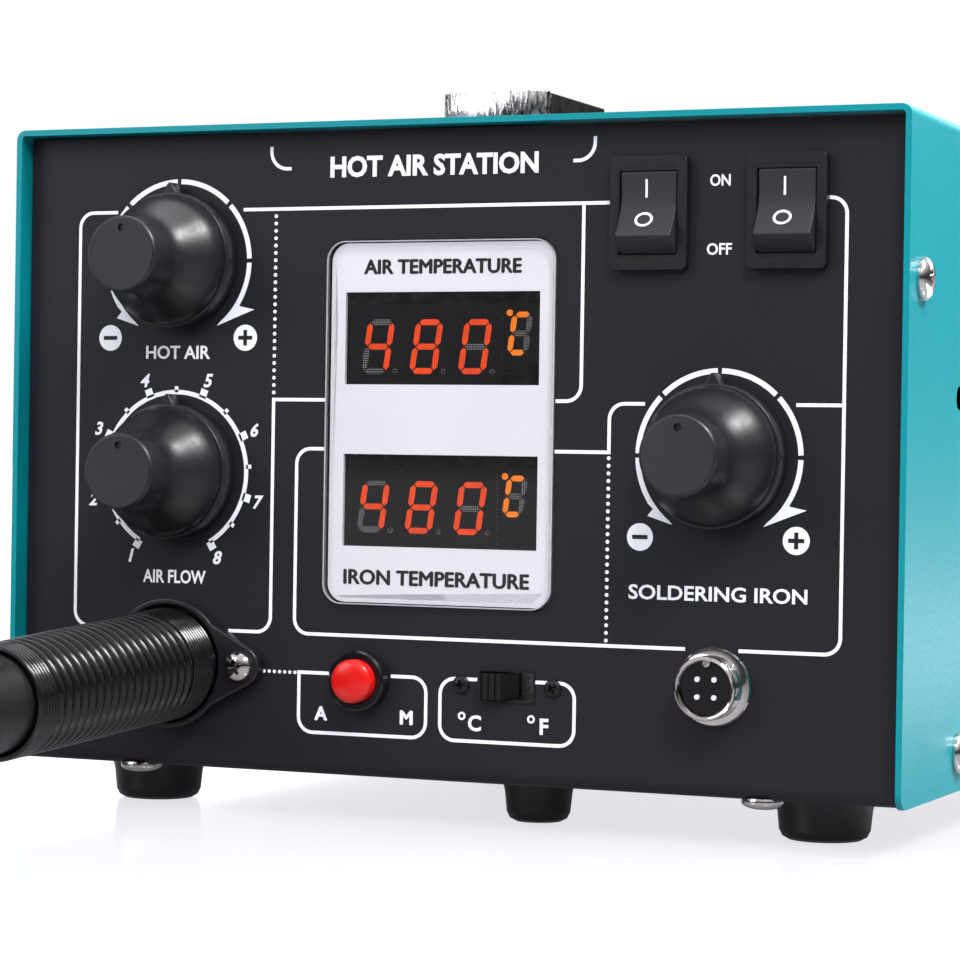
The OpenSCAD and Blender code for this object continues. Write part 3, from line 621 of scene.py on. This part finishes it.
def strain_relief():
    """A sleeve with coarse ribs and finer ones at both ends, and the cuff where the hose goes in."""
    fine, first_count, coarse_count, last_count = 1.0, 9, 18, 5
    coarse_from, taper = 11.2, 0.4
    coarse, end_r = (BOOT_L - 17.4) / coarse_count, BOOT_R - taper
    outer = [(BOOT_R - 0.3, 0.8), (BOOT_R - 0.3, 2.1)]
    for k in range(first_count):
        outer += rib(2.2 + k * fine, fine, BOOT_R, 0.32, steps=4)
    for k in range(coarse_count):
        share_done = (k + 4) / 22
        outer += rib(coarse_from + k * coarse, coarse, BOOT_R - taper * share_done, 1.25, share=0.72)
    for k in range(last_count):
        outer += rib(BOOT_L - 6 + k * fine, fine, end_r, 0.16, steps=4)
    outer += [(end_r, BOOT_L - 0.8), (end_r - 0.15, BOOT_L - 0.3), (end_r - 0.5, BOOT_L)]
    bore, mouth_end = HOSE_D / 2 + 0.3, BOOT_L - 7
    inner = [(MOUTH_R + 0.25, BOOT_L), (MOUTH_R, BOOT_L - 0.4), (MOUTH_R, mouth_end)]
    inner += [(bore, mouth_end), (bore, 0.8)]
    piece(
        "strain_relief", lathe(outer + inner, 72, closed=True), on_boot, GLOSS_BLACK, slot="gloss_black",
        replaces=["hose_boot"], smooth=50,
    )
    hidden_r = HOSE_D / 2 - 0.3
    from_mouth = ((-6.5, 9.2), (-1.5, 9.25), (9, 9.2), (12, 9.0), (13.5, 8.6), (14, 8.1))
    cuff = [(hidden_r, BOOT_L - 6.5)] + [(r, BOOT_L + z) for z, r in from_mouth] + [(hidden_r, BOOT_L + 14)]
    piece("hose_cuff", lathe(cuff, 72, closed=True), on_boot, RUBBER, slot="rubber", smooth=50)


strain_relief()


EAR_AT, EAR_R = 16.5, 4.2
FLANGE_R, FLANGE_BORE, FLANGE_T = 13, 11.6, 3


def flange():
    """Two ears on a ring, with the strain relief through its bore."""
    outline = []
    for s, half_turn in ((1, 0), (-1, 180)):
        outline += arc(s * EAR_AT, 0, EAR_R, 25 + half_turn, 155 + half_turn, 12)
        outline += arc(0, 0, FLANGE_R, 128 + half_turn, 232 + half_turn, 24)
    bore = lathe([(0, -1), (FLANGE_BORE, -1), (FLANGE_BORE, 5), (0, 5)], 72)
    piece(
        "outlet_flange", carve(slab(outline, 0, FLANGE_T), bore), on_panel(outlet.x, outlet.z), BLACK_PLASTIC,
        slot="gloss_black", replaces=["hose_flange"], bevel=0.5, smooth=40,
    )


flange()
DOME = turned(screw_head(2.9, 1.9), 20)
heads = [moved(DOME, on_panel(outlet.x + s * EAR_AT, outlet.z, FLANGE_T)) for s in (-1, 1)]
screws("flange_screw_heads", "flange_screws", heads)

# ---------- knobs ----------


def knob(name, x, z):
    """A bell-shaped knob: skirt, flared bell, and a cap with a matt face and a small index hole."""
    skirt, skirt_top, edge, gap, neck, cap, top = 13.5, 4.9, 0.35, 0.6, 7.6, 7.35, 23.2
    bell_from, bell_height, bell_steps = 5.2, 11.3, 24
    outer = [(skirt, gap)]
    for t in (0, 0.4, 0.8, 1.2, 1.57):
        outer.append((skirt - edge * (1 - math.cos(t)), skirt_top - edge * (1 - math.sin(t))))
    outer.append((skirt - 0.5, skirt_top))
    for k in range(bell_steps + 1):
        t = k / bell_steps
        flare = (1 + math.cos(math.pi * t)) / 2
        outer.append((neck + (skirt - 0.55 - neck) * flare, bell_from + bell_height * t))
    outer += [(cap + 0.12, top - 0.55), (cap, top - 0.25), (cap - 0.3, top - 0.02)]
    outer += [(cap - 0.5, top), (0, top)]
    inner = [(0, 18), (3, 18), (3, 6.1), (10.5, 6.1), (10.5, gap)]
    index = moved(lathe([(0, -0.5), (0.75, -0.5), (0.75, 1), (0, 1)], 24), on_top(0, 5.1, top))
    solid = carve(lathe(inner + outer, 96, closed=False), index)
    face = carve(slab(arc(0, 0, cap - 0.45, 0, 354, 59), top - 0.1, top + 0.03), index)
    pointer = slab([(-2.3, skirt - 1.2), (2.3, skirt - 1.2), (0.35, skirt + 2), (-0.35, skirt + 2)], 1.1, 4.3)
    at, rides = on_panel(x, z), dict(body=name, slot="black_plastic")
    piece(name + "_body", solid, at, BLACK_PLASTIC, replaces=[name], **rides)
    piece(name + "_face", face, at, MATT_PLASTIC, **rides)
    piece(name + "_pointer", pointer, at, BLACK_PLASTIC, bevel=0.3, **rides)


for name in ("heat", "flow", "iron"):
    at = middle(name + "_shaft")
    knob(name + "_knob", at.x, at.z)

# ---------- rocker switches ----------

ROCKER_TILT, PIVOT_DEPTH, ROCKER_R, ROCKER_HALF = math.radians(15), 2.2, 8.7, 5.5
FACE_HALF, FACE_LOW, FACE_DISH = 6.26, 4.35, 1.69


def rocker_front(s):
    """Height of the dished face at s along it."""
    return FACE_LOW + FACE_DISH * (abs(s) / FACE_HALF) ** 1.5


def rocker(name, x, z):
    face = [(s / 12 * FACE_HALF, rocker_front(s / 12 * FACE_HALF)) for s in range(-12, 13)]
    side = [math.radians(a) for a in (37, 30, 20, 10, 0, -10, -20)]
    flank = [(ROCKER_R * math.cos(a), ROCKER_R * math.sin(a)) for a in side]
    outline = face + flank + [(-y, z) for y, z in reversed(flank)]
    c, s = math.cos(ROCKER_TILT), math.sin(ROCKER_TILT)

    def seat(px, py, pz):
        return x + px, PANEL_Y - (pz * c - py * s - PIVOT_DEPTH), z + py * c + pz * s

    piece(
        name + "_cap", prism(outline, ROCKER_HALF), seat, MATT_PLASTIC, body=name, slot="black_plastic",
        replaces=[name], bevel=0.3, smooth=30, steps=3,
    )
    bar = ribbon([(-0.4, 1.7 + 3.3 * k / 6) for k in range(7)], 0.42)
    turns = [a * math.pi / 16 for a in range(32)]
    ring = ribbon([(-0.4 + 1.55 * math.sin(t), -2.7 + 1.3 * math.cos(t)) for t in turns], 0.47, closed=True)
    corners, faces = merge(bar, ring)
    marks = [(px, py, pz + rocker_front(py) + 0.01) for px, py, pz in corners], faces
    piece(name + "_marks", marks, seat, INK, body=name, slot="black_plastic")


def switch_frame(name, x, z):
    """The bezel round a rocker: a chamfered frame on the panel."""
    window = round_rect(2 * ROCKER_HALF + 0.7, 17.2, 0.4)
    bezel = carve(slab(round_rect(15.4, 21.4, 1.2), 0, 2.1), slab(window, -1, 4))
    at = on_panel(x, z)
    piece(name + "_bezel", bezel, at, BLACK_PLASTIC, slot="black_plastic", bevel=0.45, smooth=40)


for name in ("air", "iron"):
    at = middle(name + "_switch_housing")
    switch_frame(name + "_switch", at.x, at.z)
    rocker(name + "_rocker", at.x, at.z)

# ---------- mode button and unit switch ----------


def mode_button():
    """A rounded ring on the panel, and a domed red cap in it."""
    at = middle("button_cap")
    here = on_panel(at.x, at.z)
    bore, deep = 5.05, -6
    ring = [(bore, -0.5), (5.9, -0.5), (5.9, 2.5), (5.6, 3.0), (5.2, 3.2), (4.8, 3.1), (4.5, 2.8)]
    ring += [(4.5, deep), (bore, deep)]
    piece("button_ring", lathe(ring, 64, closed=True), here, BLACK_PLASTIC, slot="gloss_black")
    cap = [(0, -6.5), (4.25, -6.5), (4.25, 5.0), (4.1, 5.35), (3.8, 5.6), (2.8, 5.85), (1.4, 6.0), (0, 6.05)]
    piece(
        "button_cap_red", lathe(cap, 96), here, RED, body="mode_button", slot="red_plastic",
        replaces=["button_cap"],
    )


mode_button()


def unit_switch():
    """Two small screws, the slot's rim and the ribbed slider."""
    at = middle("slide_switch_body")
    small, apart = screw_head(1.75, 0.9, 0.7), 19
    heads = []
    for side, turn in ((-1, 10), (1, 35)):
        heads.append(moved(turned(small, turn), on_panel(at.x + side * apart / 2, at.z)))
    screws("slide_screw_heads", "slide_screws", heads, OXIDE, "black_steel")
    rim = ribbon(round_rect(11.4, 5.9, 0.3), 0.35, 0, 0.25, closed=True)
    piece("slide_slot_rim", rim, on_panel(at.x, at.z), OXIDE, slot="black_steel")
    lever = middle("slide_actuator")
    left, end, deep, valley, crest = -2.6, 2.65, -6.4, 1.9, 2.35
    outline = [(left, deep)]
    for k in range(4):
        start = left + k * 1.4
        outline += [(start, valley), (start + 0.15, crest), (start + 0.75, crest), (start + 0.95, valley)]
    outline = [(x, z) for x, z in outline if x <= end] + [(end, valley), (end, deep)]
    corners, faces = slab(outline, -2.5, 2.5)
    ribbed = [(px, pz, py) for px, py, pz in corners], faces
    piece(
        "slide_lever", ribbed, on_panel(lever.x, lever.z), OXIDE, body="unit_slider", slot="black_plastic",
        replaces=["slide_actuator"], bevel=0.12,
    )


unit_switch()

# ---------- soldering socket ----------


def socket():
    """A threaded chrome ring with a key inside."""
    at = middle("socket_insert")
    pitch, root_r, crest_r = 0.75, 5.75, 6.0
    thread = []
    for k in range(6):
        thread += [(root_r, 1.7 + k * pitch), (crest_r, 1.95 + k * pitch), (crest_r, 2.1 + k * pitch)]
    outer = [(7.4, 0), (7.4, 1.0), (7.1, 1.4), (6.2, 1.5)] + thread + [(5.9, 6.2), (5.6, 6.4)]
    inner = [(5.3, 6.3), (5.05, 5.9), (5.05, -0.5), (6.0, -0.5)]
    key = lathe([(0, 3), (0.8, 3), (0.8, 5.6), (0.55, 5.8), (0, 5.8)], 24)
    shell = merge(lathe(outer + inner, 72, closed=True), moved(key, on_top(0, 4.75, 0)))
    here = on_panel(at.x, at.z)
    piece("socket_ring", shell, here, CHROME, slot="chrome", replaces=["socket_shell"], smooth=30)
    NODES["socket_pins"].material_slots[0].material = SILVER


socket()

# ---------- panel printing ----------

dials = {name: middle(name + "_shaft") - Vector((0, 0, DATUM)) for name in ("heat", "flow", "iron")}
LINE, DIAL_R = 0.68, 15.95


def bearing(x, y):
    """The clockwise angle from the top, in degrees, at which the origin sees a point."""
    return math.degrees(math.atan2(x, y))


def heater_dial(x, z):
    """Five gaps in an arc that ends in two arrows, with minus and plus discs; returns light and dark ink."""
    width, disc_at, disc_r, bar, bar_width = 1.0, 15.3, 2.6, 1.55, 0.8
    marks, bars = [], []
    for start, end in ((-122, -91.5), (-88.5, -46.5), (-43.5, -1.5), (1.5, 43.5), (46.5, 88.5), (91.5, 122)):
        marks.append(ribbon(arc(x, z, DIAL_R, start, end, 14), width))
    shoulder, tip = (14.0, -8.8), (8.9, -12.9)
    for sign, notch, barb in ((1, (13.8, -9.0), (17.2, -9.7)), (-1, (12.8, -10.0), (13.9, -11.3))):
        inner = arc(0, 0, DIAL_R - width / 2, bearing(*tip), bearing(*shoulder), 6)
        head = [(x + sign * px, z + py) for px, py in [shoulder, notch, barb, tip] + inner[1:]]
        marks.append(slab(head if sign > 0 else head[::-1], INK_LOW, INK_HIGH))
    y = z - disc_at
    for s in (-1, 1):
        marks.append(dot(x + s * disc_at, y, disc_r, steps=40))
        bars.append(ribbon([(x + s * disc_at - bar, y), (x + s * disc_at + bar, y)], bar_width, 0, 0.07))
    bars.append(ribbon([(x + disc_at, y - bar), (x + disc_at, y + bar)], bar_width, 0, 0.075))
    return merge(*marks), merge(*bars)


def tick(x, z, turn, length, width):
    """A stroke outward from a dial's circle."""
    return ribbon([arc(x, z, r, turn, turn, 1)[0] for r in (DIAL_R, DIAL_R + length)], width)


def flow_dial(x, z):
    """A circle with eight numbered ticks and seven short ones between them."""
    sweep, steps, number_r = 150, 7, 19.6
    marks = [ribbon(arc(x, z, DIAL_R, -sweep, sweep, 90), 0.9)]
    for k in range(steps + 1):
        turn = -sweep + k * 2 * sweep / steps
        marks.append(tick(x, z, turn, 1.75, 1.6))
        spot = arc(x, z, number_r, turn, turn, 1)[0]
        marks.append(lettering(str(k + 1), spot[0], spot[1], 2.7, weight=0.03, lean=0.25))
        if k < steps:
            marks.append(tick(x, z, turn + sweep / steps, 1.15, 0.8))
    return merge(*marks)


def panel_lines():
    """The thin frames that group the controls, in panel millimetres."""
    r = 3
    paths = [
        rounded([(-45.5, 34.8), (-36.2, 34.8), (-36.2, 80.8)], r) + [(-24.7, 80.8)],
        rounded([(-72, 118.3), (-80.6, 118.3), (-80.6, 34.8), (-69, 34.8)], r),
        [(-43.5, 118.4), (34.2, 118.4)],
        rounded([(-24.7, 71.2), (-30.9, 71.2), (-30.9, 34.8), (50.5, 34.8)], r),
        rounded([(61, 34.8), (80.5, 34.8), (80.5, 118.6), (77, 118.6)], r),
        rounded([(28.9, 118), (28.9, 80.9), (23.7, 80.9)], r),
        [(23.7, 71.3)] + rounded([(34.7, 71.3), (34.7, 80.5), (41.8, 80.5)], r),
        [(71.4, 80.5), (80.1, 80.5)],
        rounded([(-37.4, 130.7), (-37.4, 126.3), (-33, 126.3)], 3.4),
        rounded([(31, 131), (31, 126.5), (26.6, 126.5)], 3.4),
        [(-23.2, 27.2)]
        + rounded([(-29.7, 27.2), (-29.7, 15.5), (-2.3, 15.5), (-2.3, 27.2), (-9.8, 27.2)], r),
        rounded([(9.5, 27.3), (0.7, 27.3), (0.7, 15.4), (28.5, 15.4), (28.5, 27.3), (20.2, 27.3)], r),
    ]
    marks = [ribbon(path, LINE) for path in paths]
    marks.append(dots((-36.2, 117), (-36.2, 82.2), 1.43, 0.375))
    marks.append(dots((34.7, 70.2), (34.7, 35.8), 1.45, 0.375))
    marks.append(dots((-37.4, 27.1), (-30.6, 27.1), 1.2, 0.35))
    return merge(*marks)


def panel_words():
    """Generic words only: what each control sets."""
    return merge(
        lettering("HOT AIR STATION", -2.5, 126.4, 4.2, 44, weight=0.035),
        lettering("HOT AIR", -57.8, 90.1, 2.7, 14.5),
        lettering("AIR FLOW", -57.9, 45.2, 2.7, 14.2),
        lettering("SOLDERING IRON", 56.6, 45.2, 2.8, 35),
        lettering("ON", 56, 122.2, 2.2, 4),
        lettering("OFF", 56, 109.4, 2.2, 4.9),
        bold(lettering("A", -24.8, 19.3, 2.6, weight=0.0)),
        bold(lettering("M", -6.4, 19.3, 2.6, weight=0.0)),
        lettering("C", 8, 18.9, 3.1, weight=0.03),
        lettering("F", 22.4, 18.9, 3.1, weight=0.03),
        ribbon(arc(5.3, 20.2, 0.6, 0, 337.5, 15), 0.4, closed=True),
        ribbon(arc(19.7, 20.2, 0.6, 0, 337.5, 15), 0.4, closed=True),
    )


sheet = on_panel(0, DATUM)
piece("panel_lines", panel_lines(), sheet, INK, slot="black_paint")
piece("panel_words", panel_words(), sheet, INK, slot="black_paint")
piece("flow_scale", flow_dial(dials["flow"].x, dials["flow"].z), sheet, INK, slot="black_paint")
for name in ("heat", "iron"):
    light, dark = heater_dial(dials[name].x, dials[name].z)
    piece(name + "_scale", light, sheet, INK, slot="black_paint")
    piece(name + "_scale_signs", dark, sheet, DARK_INK, slot="black_paint")

# ---------- display ----------

SLANT = math.tan(math.radians(8))
LIT = {"4": "bcfg", "8": "abcdefg", "0": "abcdef", "C": "adef"}
LIT_HIGH, UNLIT_HIGH = 0.12, 0.08
LENS_AT = middle("display_lens")


def segment(cx, cy, length, t, upright):
    """The pointed outline of one bar of a digit, t thick."""
    tip, body = length / 2, length / 2 - t / 2
    outline = [(-tip, 0), (-body, t / 2), (body, t / 2), (tip, 0), (body, -t / 2), (-body, -t / 2)]
    return [(cx + y, cy + x) if upright else (cx + x, cy + y) for x, y in outline]


def digit(x, y, w, h, t, text):
    """Lit and unlit segments of a leaning seven-segment digit whose lower left corner is at (x, y)."""
    mid_x, inner_w, inner_h = x + w / 2, w - t - 0.4, h / 2 - t / 2 - 0.4
    left, right_x = x + t / 2, x + w - t / 2
    low, high = y + h / 4 + t / 4, y + h * 3 / 4 - t / 4
    parts = {}
    for k, cy in (("a", y + h - t / 2), ("g", y + h / 2), ("d", y + t / 2)):
        parts[k] = segment(mid_x, cy, inner_w, t, False)
    for k, cx, cy in (("b", right_x, high), ("c", right_x, low), ("e", left, low), ("f", left, high)):
        parts[k] = segment(cx, cy, inner_h, t, True)
    lean = {k: [(px + (py - y) * SLANT, py) for px, py in v] for k, v in parts.items()}
    lit = [slab(v, 0, LIT_HIGH) for k, v in lean.items() if k in LIT[text]]
    unlit = [slab(v, 0, UNLIT_HIGH) for k, v in lean.items() if k not in LIT[text]]
    return lit, unlit


def display(name, node, shift, base, height, small_base, small_height):
    """One module's face: mask, three digits, a dotted divider and the unit digit."""
    lo, hi = lowest(node), highest(node)
    face = on_panel(0, DATUM, PANEL_Y - lo.y)
    lo_z, hi_z = lo.z + 1 - DATUM, hi.z - 1 - DATUM
    mask_top, edge, corner_z = hi_z - 2.3, 12.5 + shift, base + 1.8
    pitch, digit_w, small_w = 10.3, 5.8, 4.3
    mask = merge(
        rect(lo.x + 1.7, lo_z, edge, mask_top, INK_LOW, 0.03),
        rect(edge + 0.5, corner_z, hi.x - 1.5, mask_top, INK_LOW, 0.03),
    )
    lit, unlit = [], []
    for k, text in enumerate("480"):
        on, off = digit(-17.2 + k * pitch + shift, base, digit_w, height, 1.15, text)
        lit += on
        unlit += off
        point = arc(-9.9 + k * pitch + shift, base + 0.5, 0.4, 0, 337.5, 15)
        unlit.append(ribbon(point, 0.25, 0, UNLIT_HIGH, closed=True))
    amber, off = digit(13.6 + shift, small_base, small_w, small_height, 1.1, "C")
    amber.append(dot(14.2 + shift, small_base + small_height - 0.2, 0.65, 0, LIT_HIGH))
    unlit += off
    unlit.append(dots((edge + 0.2, lo_z + 0.4), (edge + 0.2, mask_top), LED_PITCH * 1.5, 0.13))
    piece(name + "_mask", mask, face, LED_MASK, slot="gloss_black")
    piece(name + "_digits", merge(*lit), face, LED_RED, slot="red_plastic")
    piece(name + "_unit", merge(*amber), face, LED_AMBER, slot="red_plastic")
    piece(name + "_unlit", merge(*unlit), face, LED_UNLIT, slot="gloss_black")
    NODES[node].material_slots[0].material = LED_BLACK


display("air_readout", "air_display", -0.7, 86.0, 10.6, 89.6, 8.4)
display("iron_readout", "iron_display", -1.2, 55.0, 10.2, 58.6, 8.0)


def lens():
    """The lens, a painted highlight round its front edge, the plate's border behind its edge, and the plate's
    words.
    """
    lens_w, lens_h, lens_r = 48, 71, 4
    here = on_panel(LENS_AT.x, LENS_AT.z)

    def inset(by, r=None):
        """The lens's outline, smaller all round."""
        return round_rect(lens_w - 2 * by, lens_h - 2 * by, lens_r - by if r is None else r, 10)

    pane = slab(inset(0), -0.6, 1)
    piece("lens", pane, here, LENS, slot="clear_lens", replaces=["display_lens"], smooth=12)
    border = carve(slab(inset(0.45, 3.6), -0.75, -0.62), slab(inset(1.35, 2.7), -1, 0))
    piece("plate_border", border, here, SILVER, slot="silver_plate")
    # Painted highlight: a pale strip just inside the lens's outline, on its front face.
    rim = ribbon(inset(0.2), 0.26, 0.95, 1.03, closed=True)
    piece("lens_edge_highlight", rim, here, LENS_EDGE_HIGHLIGHT, slot="clear_lens")
    words = merge(
        bold(lettering("AIR TEMPERATURE", LENS_AT.x, 106.8, 2.7, 33, weight=0.0)),
        bold(lettering("IRON TEMPERATURE", LENS_AT.x - 0.5, 46.3, 2.8, 39, weight=0.0)),
    )
    plate_front = PANEL_Y - lowest("display_plate").y
    piece("plate_words", words, on_panel(0, DATUM, plate_front), DARK_INK, slot="silver_plate")


lens()

# ---------- screws of the case, handle ----------


def case_screws():
    """The chrome heads in the cover's sides and under the base."""
    big, low = screw_head(4, 2.3), screw_head(4.2, 2)
    base_at, base_inset = (-67, 65), 8.2
    heads = []
    for side in (-1, 1):
        for end in (-1, 1):
            for inset, z, turn in ((8.5, 105.3, 12), (39.8, 16.2, 40)):
                heads.append(moved(turned(big, turn * end), on_side(side, end * (-FRONT_Y - inset), z)))
    screws("case_screw_heads", "cover_screws", heads)
    heads = [moved(low, under_base(x, end * (-FRONT_Y - base_inset))) for x in base_at for end in (-1, 1)]
    screws("base_screw_heads", "base_screws", heads)


case_screws()


SHARP = 40


def soften(node, width):
    """A CAD node with its sharp edges broken by a small bevel."""
    part = NODES[node]
    weld = part.modifiers.new("weld", "WELD")
    weld.merge_threshold = 1e-6
    flat = part.modifiers.new("flat", "DECIMATE")
    flat.decimate_type, flat.angle_limit = "DISSOLVE", math.radians(1)
    edge = part.modifiers.new("edges", "BEVEL")
    edge.width, edge.segments, edge.limit_method = width * MM, 2, "ANGLE"
    edge.angle_limit, edge.harden_normals = math.radians(SHARP), True


for node, width in (
    ("cover", 0.3), ("handle_strap", 0.5), ("handle_block_front", 0.5), ("handle_block_rear", 0.5),
    ("handle_noses", 0.4),
):
    soften(node, width)

# The handle noses get chrome with a painted reflection, white at one end and near black at the other.
NODES["handle_noses"].material_slots[0].material = CHROME_WITH_PAINTED_REFLECTION

# ---------- floor and light ----------


def floor():
    """A pale, slightly glossy table that glows to the eye, so that it stays even out to the horizon."""
    mesh, reach = bpy.data.meshes.new("floor"), 12
    corners = [(reach * x, reach * y, 0) for x, y in ((-1, -1), (1, -1), (1, 1), (-1, 1))]
    mesh.from_pydata(corners, [], [[0, 1, 2, 3]])
    made = Finish("pale_floor", Specular_IOR_Level=0.5, Emission_Color=srgb(246, 246, 252))
    seen = made.tree.nodes.new("ShaderNodeLightPath").outputs["Is Camera Ray"]
    made.feed("Emission Strength", made.between(seen, 0.18, 0.78, 0, 1))
    drift = made.between(made.noise(400), 0, 1)
    made.feed("Base Color", made.mix(drift, srgb(110, 110, 116), srgb(116, 116, 120)))
    made.feed("Roughness", made.between(made.noise(150), 0.1, 0.14))
    mesh.materials.append(made.material)
    add("floor", mesh)


floor()


def aim(lamp, at, target):
    lamp.location = at
    lamp.rotation_mode = "QUATERNION"
    lamp.rotation_quaternion = (Vector(target) - Vector(at)).to_track_quat("-Z", "Y")


def softbox(name, at, target, width, height, power, colour=(1, 1, 1)):
    light = bpy.data.lights.new(name, "AREA")
    light.shape, light.size, light.size_y = "RECTANGLE", width, height
    light.energy, light.color = power, colour
    lamp = add(name, light)
    aim(lamp, at, target)
    return lamp


def wash(name, at, strength):
    """Even light from one direction, the same everywhere, with soft shadows."""
    light = bpy.data.lights.new(name, "SUN")
    light.energy, light.angle = strength, math.radians(60)
    lamp = add(name, light)
    lamp.visible_glossy = False
    aim(lamp, at, (0, 0, 0))


softbox("key", (0.75, -0.07, 0.98), (0, -0.13, 0.08), 0.55, 0.34, 19)
softbox("glint", (0.5, -0.75, 0.8), (0, -0.1, 0.08), 0.2, 0.2, 5)
softbox("left_front", (-0.95, -1.2, 0.62), (-0.05, -0.1, 0.09), 0.7, 0.7, 5, (1, 0.97, 1))
softbox("overhead", (-0.1, 0.1, 1.2), (0, 0, 0.1), 0.9, 0.9, 5)
softbox("rear", (0.6, 1.3, 0.8), (0, 0, 0.07), 0.8, 0.8, 5)
sheen = softbox("side_sheen", (0.42, 0.42, 0.004), (0.42, 0.42, 1), 0.5, 0.8, 3.2)
sheen.visible_diffuse = sheen.visible_camera = False
wash("wash_front", (0.25, -1, 1.0), 1.9)
wash("wash_top", (0.2, 0.3, 1), 0.9)
wash("wash_side", (1, 0.1, 0.5), 0.68)


def studio():
    """White to the eye; for light and reflections, bright overhead and behind on the left, else dim."""
    world = bpy.data.worlds.new("studio")
    bpy.context.scene.world = world
    world.use_nodes = True
    tree = world.node_tree
    lit = tree.nodes["Background"]
    place = tree.nodes.new("ShaderNodeTexCoord")
    split = tree.nodes.new("ShaderNodeSeparateXYZ")
    tree.links.new(place.outputs["Generated"], split.inputs[0])
    behind = tree.nodes.new("ShaderNodeMath")
    behind.operation = "SUBTRACT"
    tree.links.new(split.outputs["Y"], behind.inputs[0])
    tree.links.new(split.outputs["X"], behind.inputs[1])
    shares = []
    ramps = ((split.outputs["Z"], 0.12, 0.6, 0.05, 0.85), (behind.outputs[0], 0.8, 1.2, 0.0, 1.0))
    for along, start, end, low, high in ramps:
        level = tree.nodes.new("ShaderNodeMapRange")
        level.interpolation_type = "SMOOTHSTEP"
        for socket, value in (("From Min", start), ("From Max", end), ("To Min", low), ("To Max", high)):
            level.inputs[socket].default_value = value
        tree.links.new(along, level.inputs["Value"])
        shares.append(level.outputs[0])
    brighter = tree.nodes.new("ShaderNodeMath")
    brighter.operation = "MAXIMUM"
    for socket, share in zip(brighter.inputs, shares):
        tree.links.new(share, socket)
    tree.links.new(brighter.outputs[0], lit.inputs["Strength"])
    lit.inputs["Color"].default_value = (0.97, 0.98, 1, 1)
    white = tree.nodes.new("ShaderNodeBackground")
    white.inputs["Strength"].default_value = 1.0
    white.inputs["Color"].default_value = (1, 1, 1, 1)
    choose = tree.nodes.new("ShaderNodeMixShader")
    path = tree.nodes.new("ShaderNodeLightPath")
    tree.links.new(path.outputs["Is Camera Ray"], choose.inputs[0])
    tree.links.new(lit.outputs[0], choose.inputs[1])
    tree.links.new(white.outputs[0], choose.inputs[2])
    tree.links.new(choose.outputs[0], tree.nodes["World Output"].inputs["Surface"])


studio()
bpy.context.scene.view_settings.view_transform = "Standard"
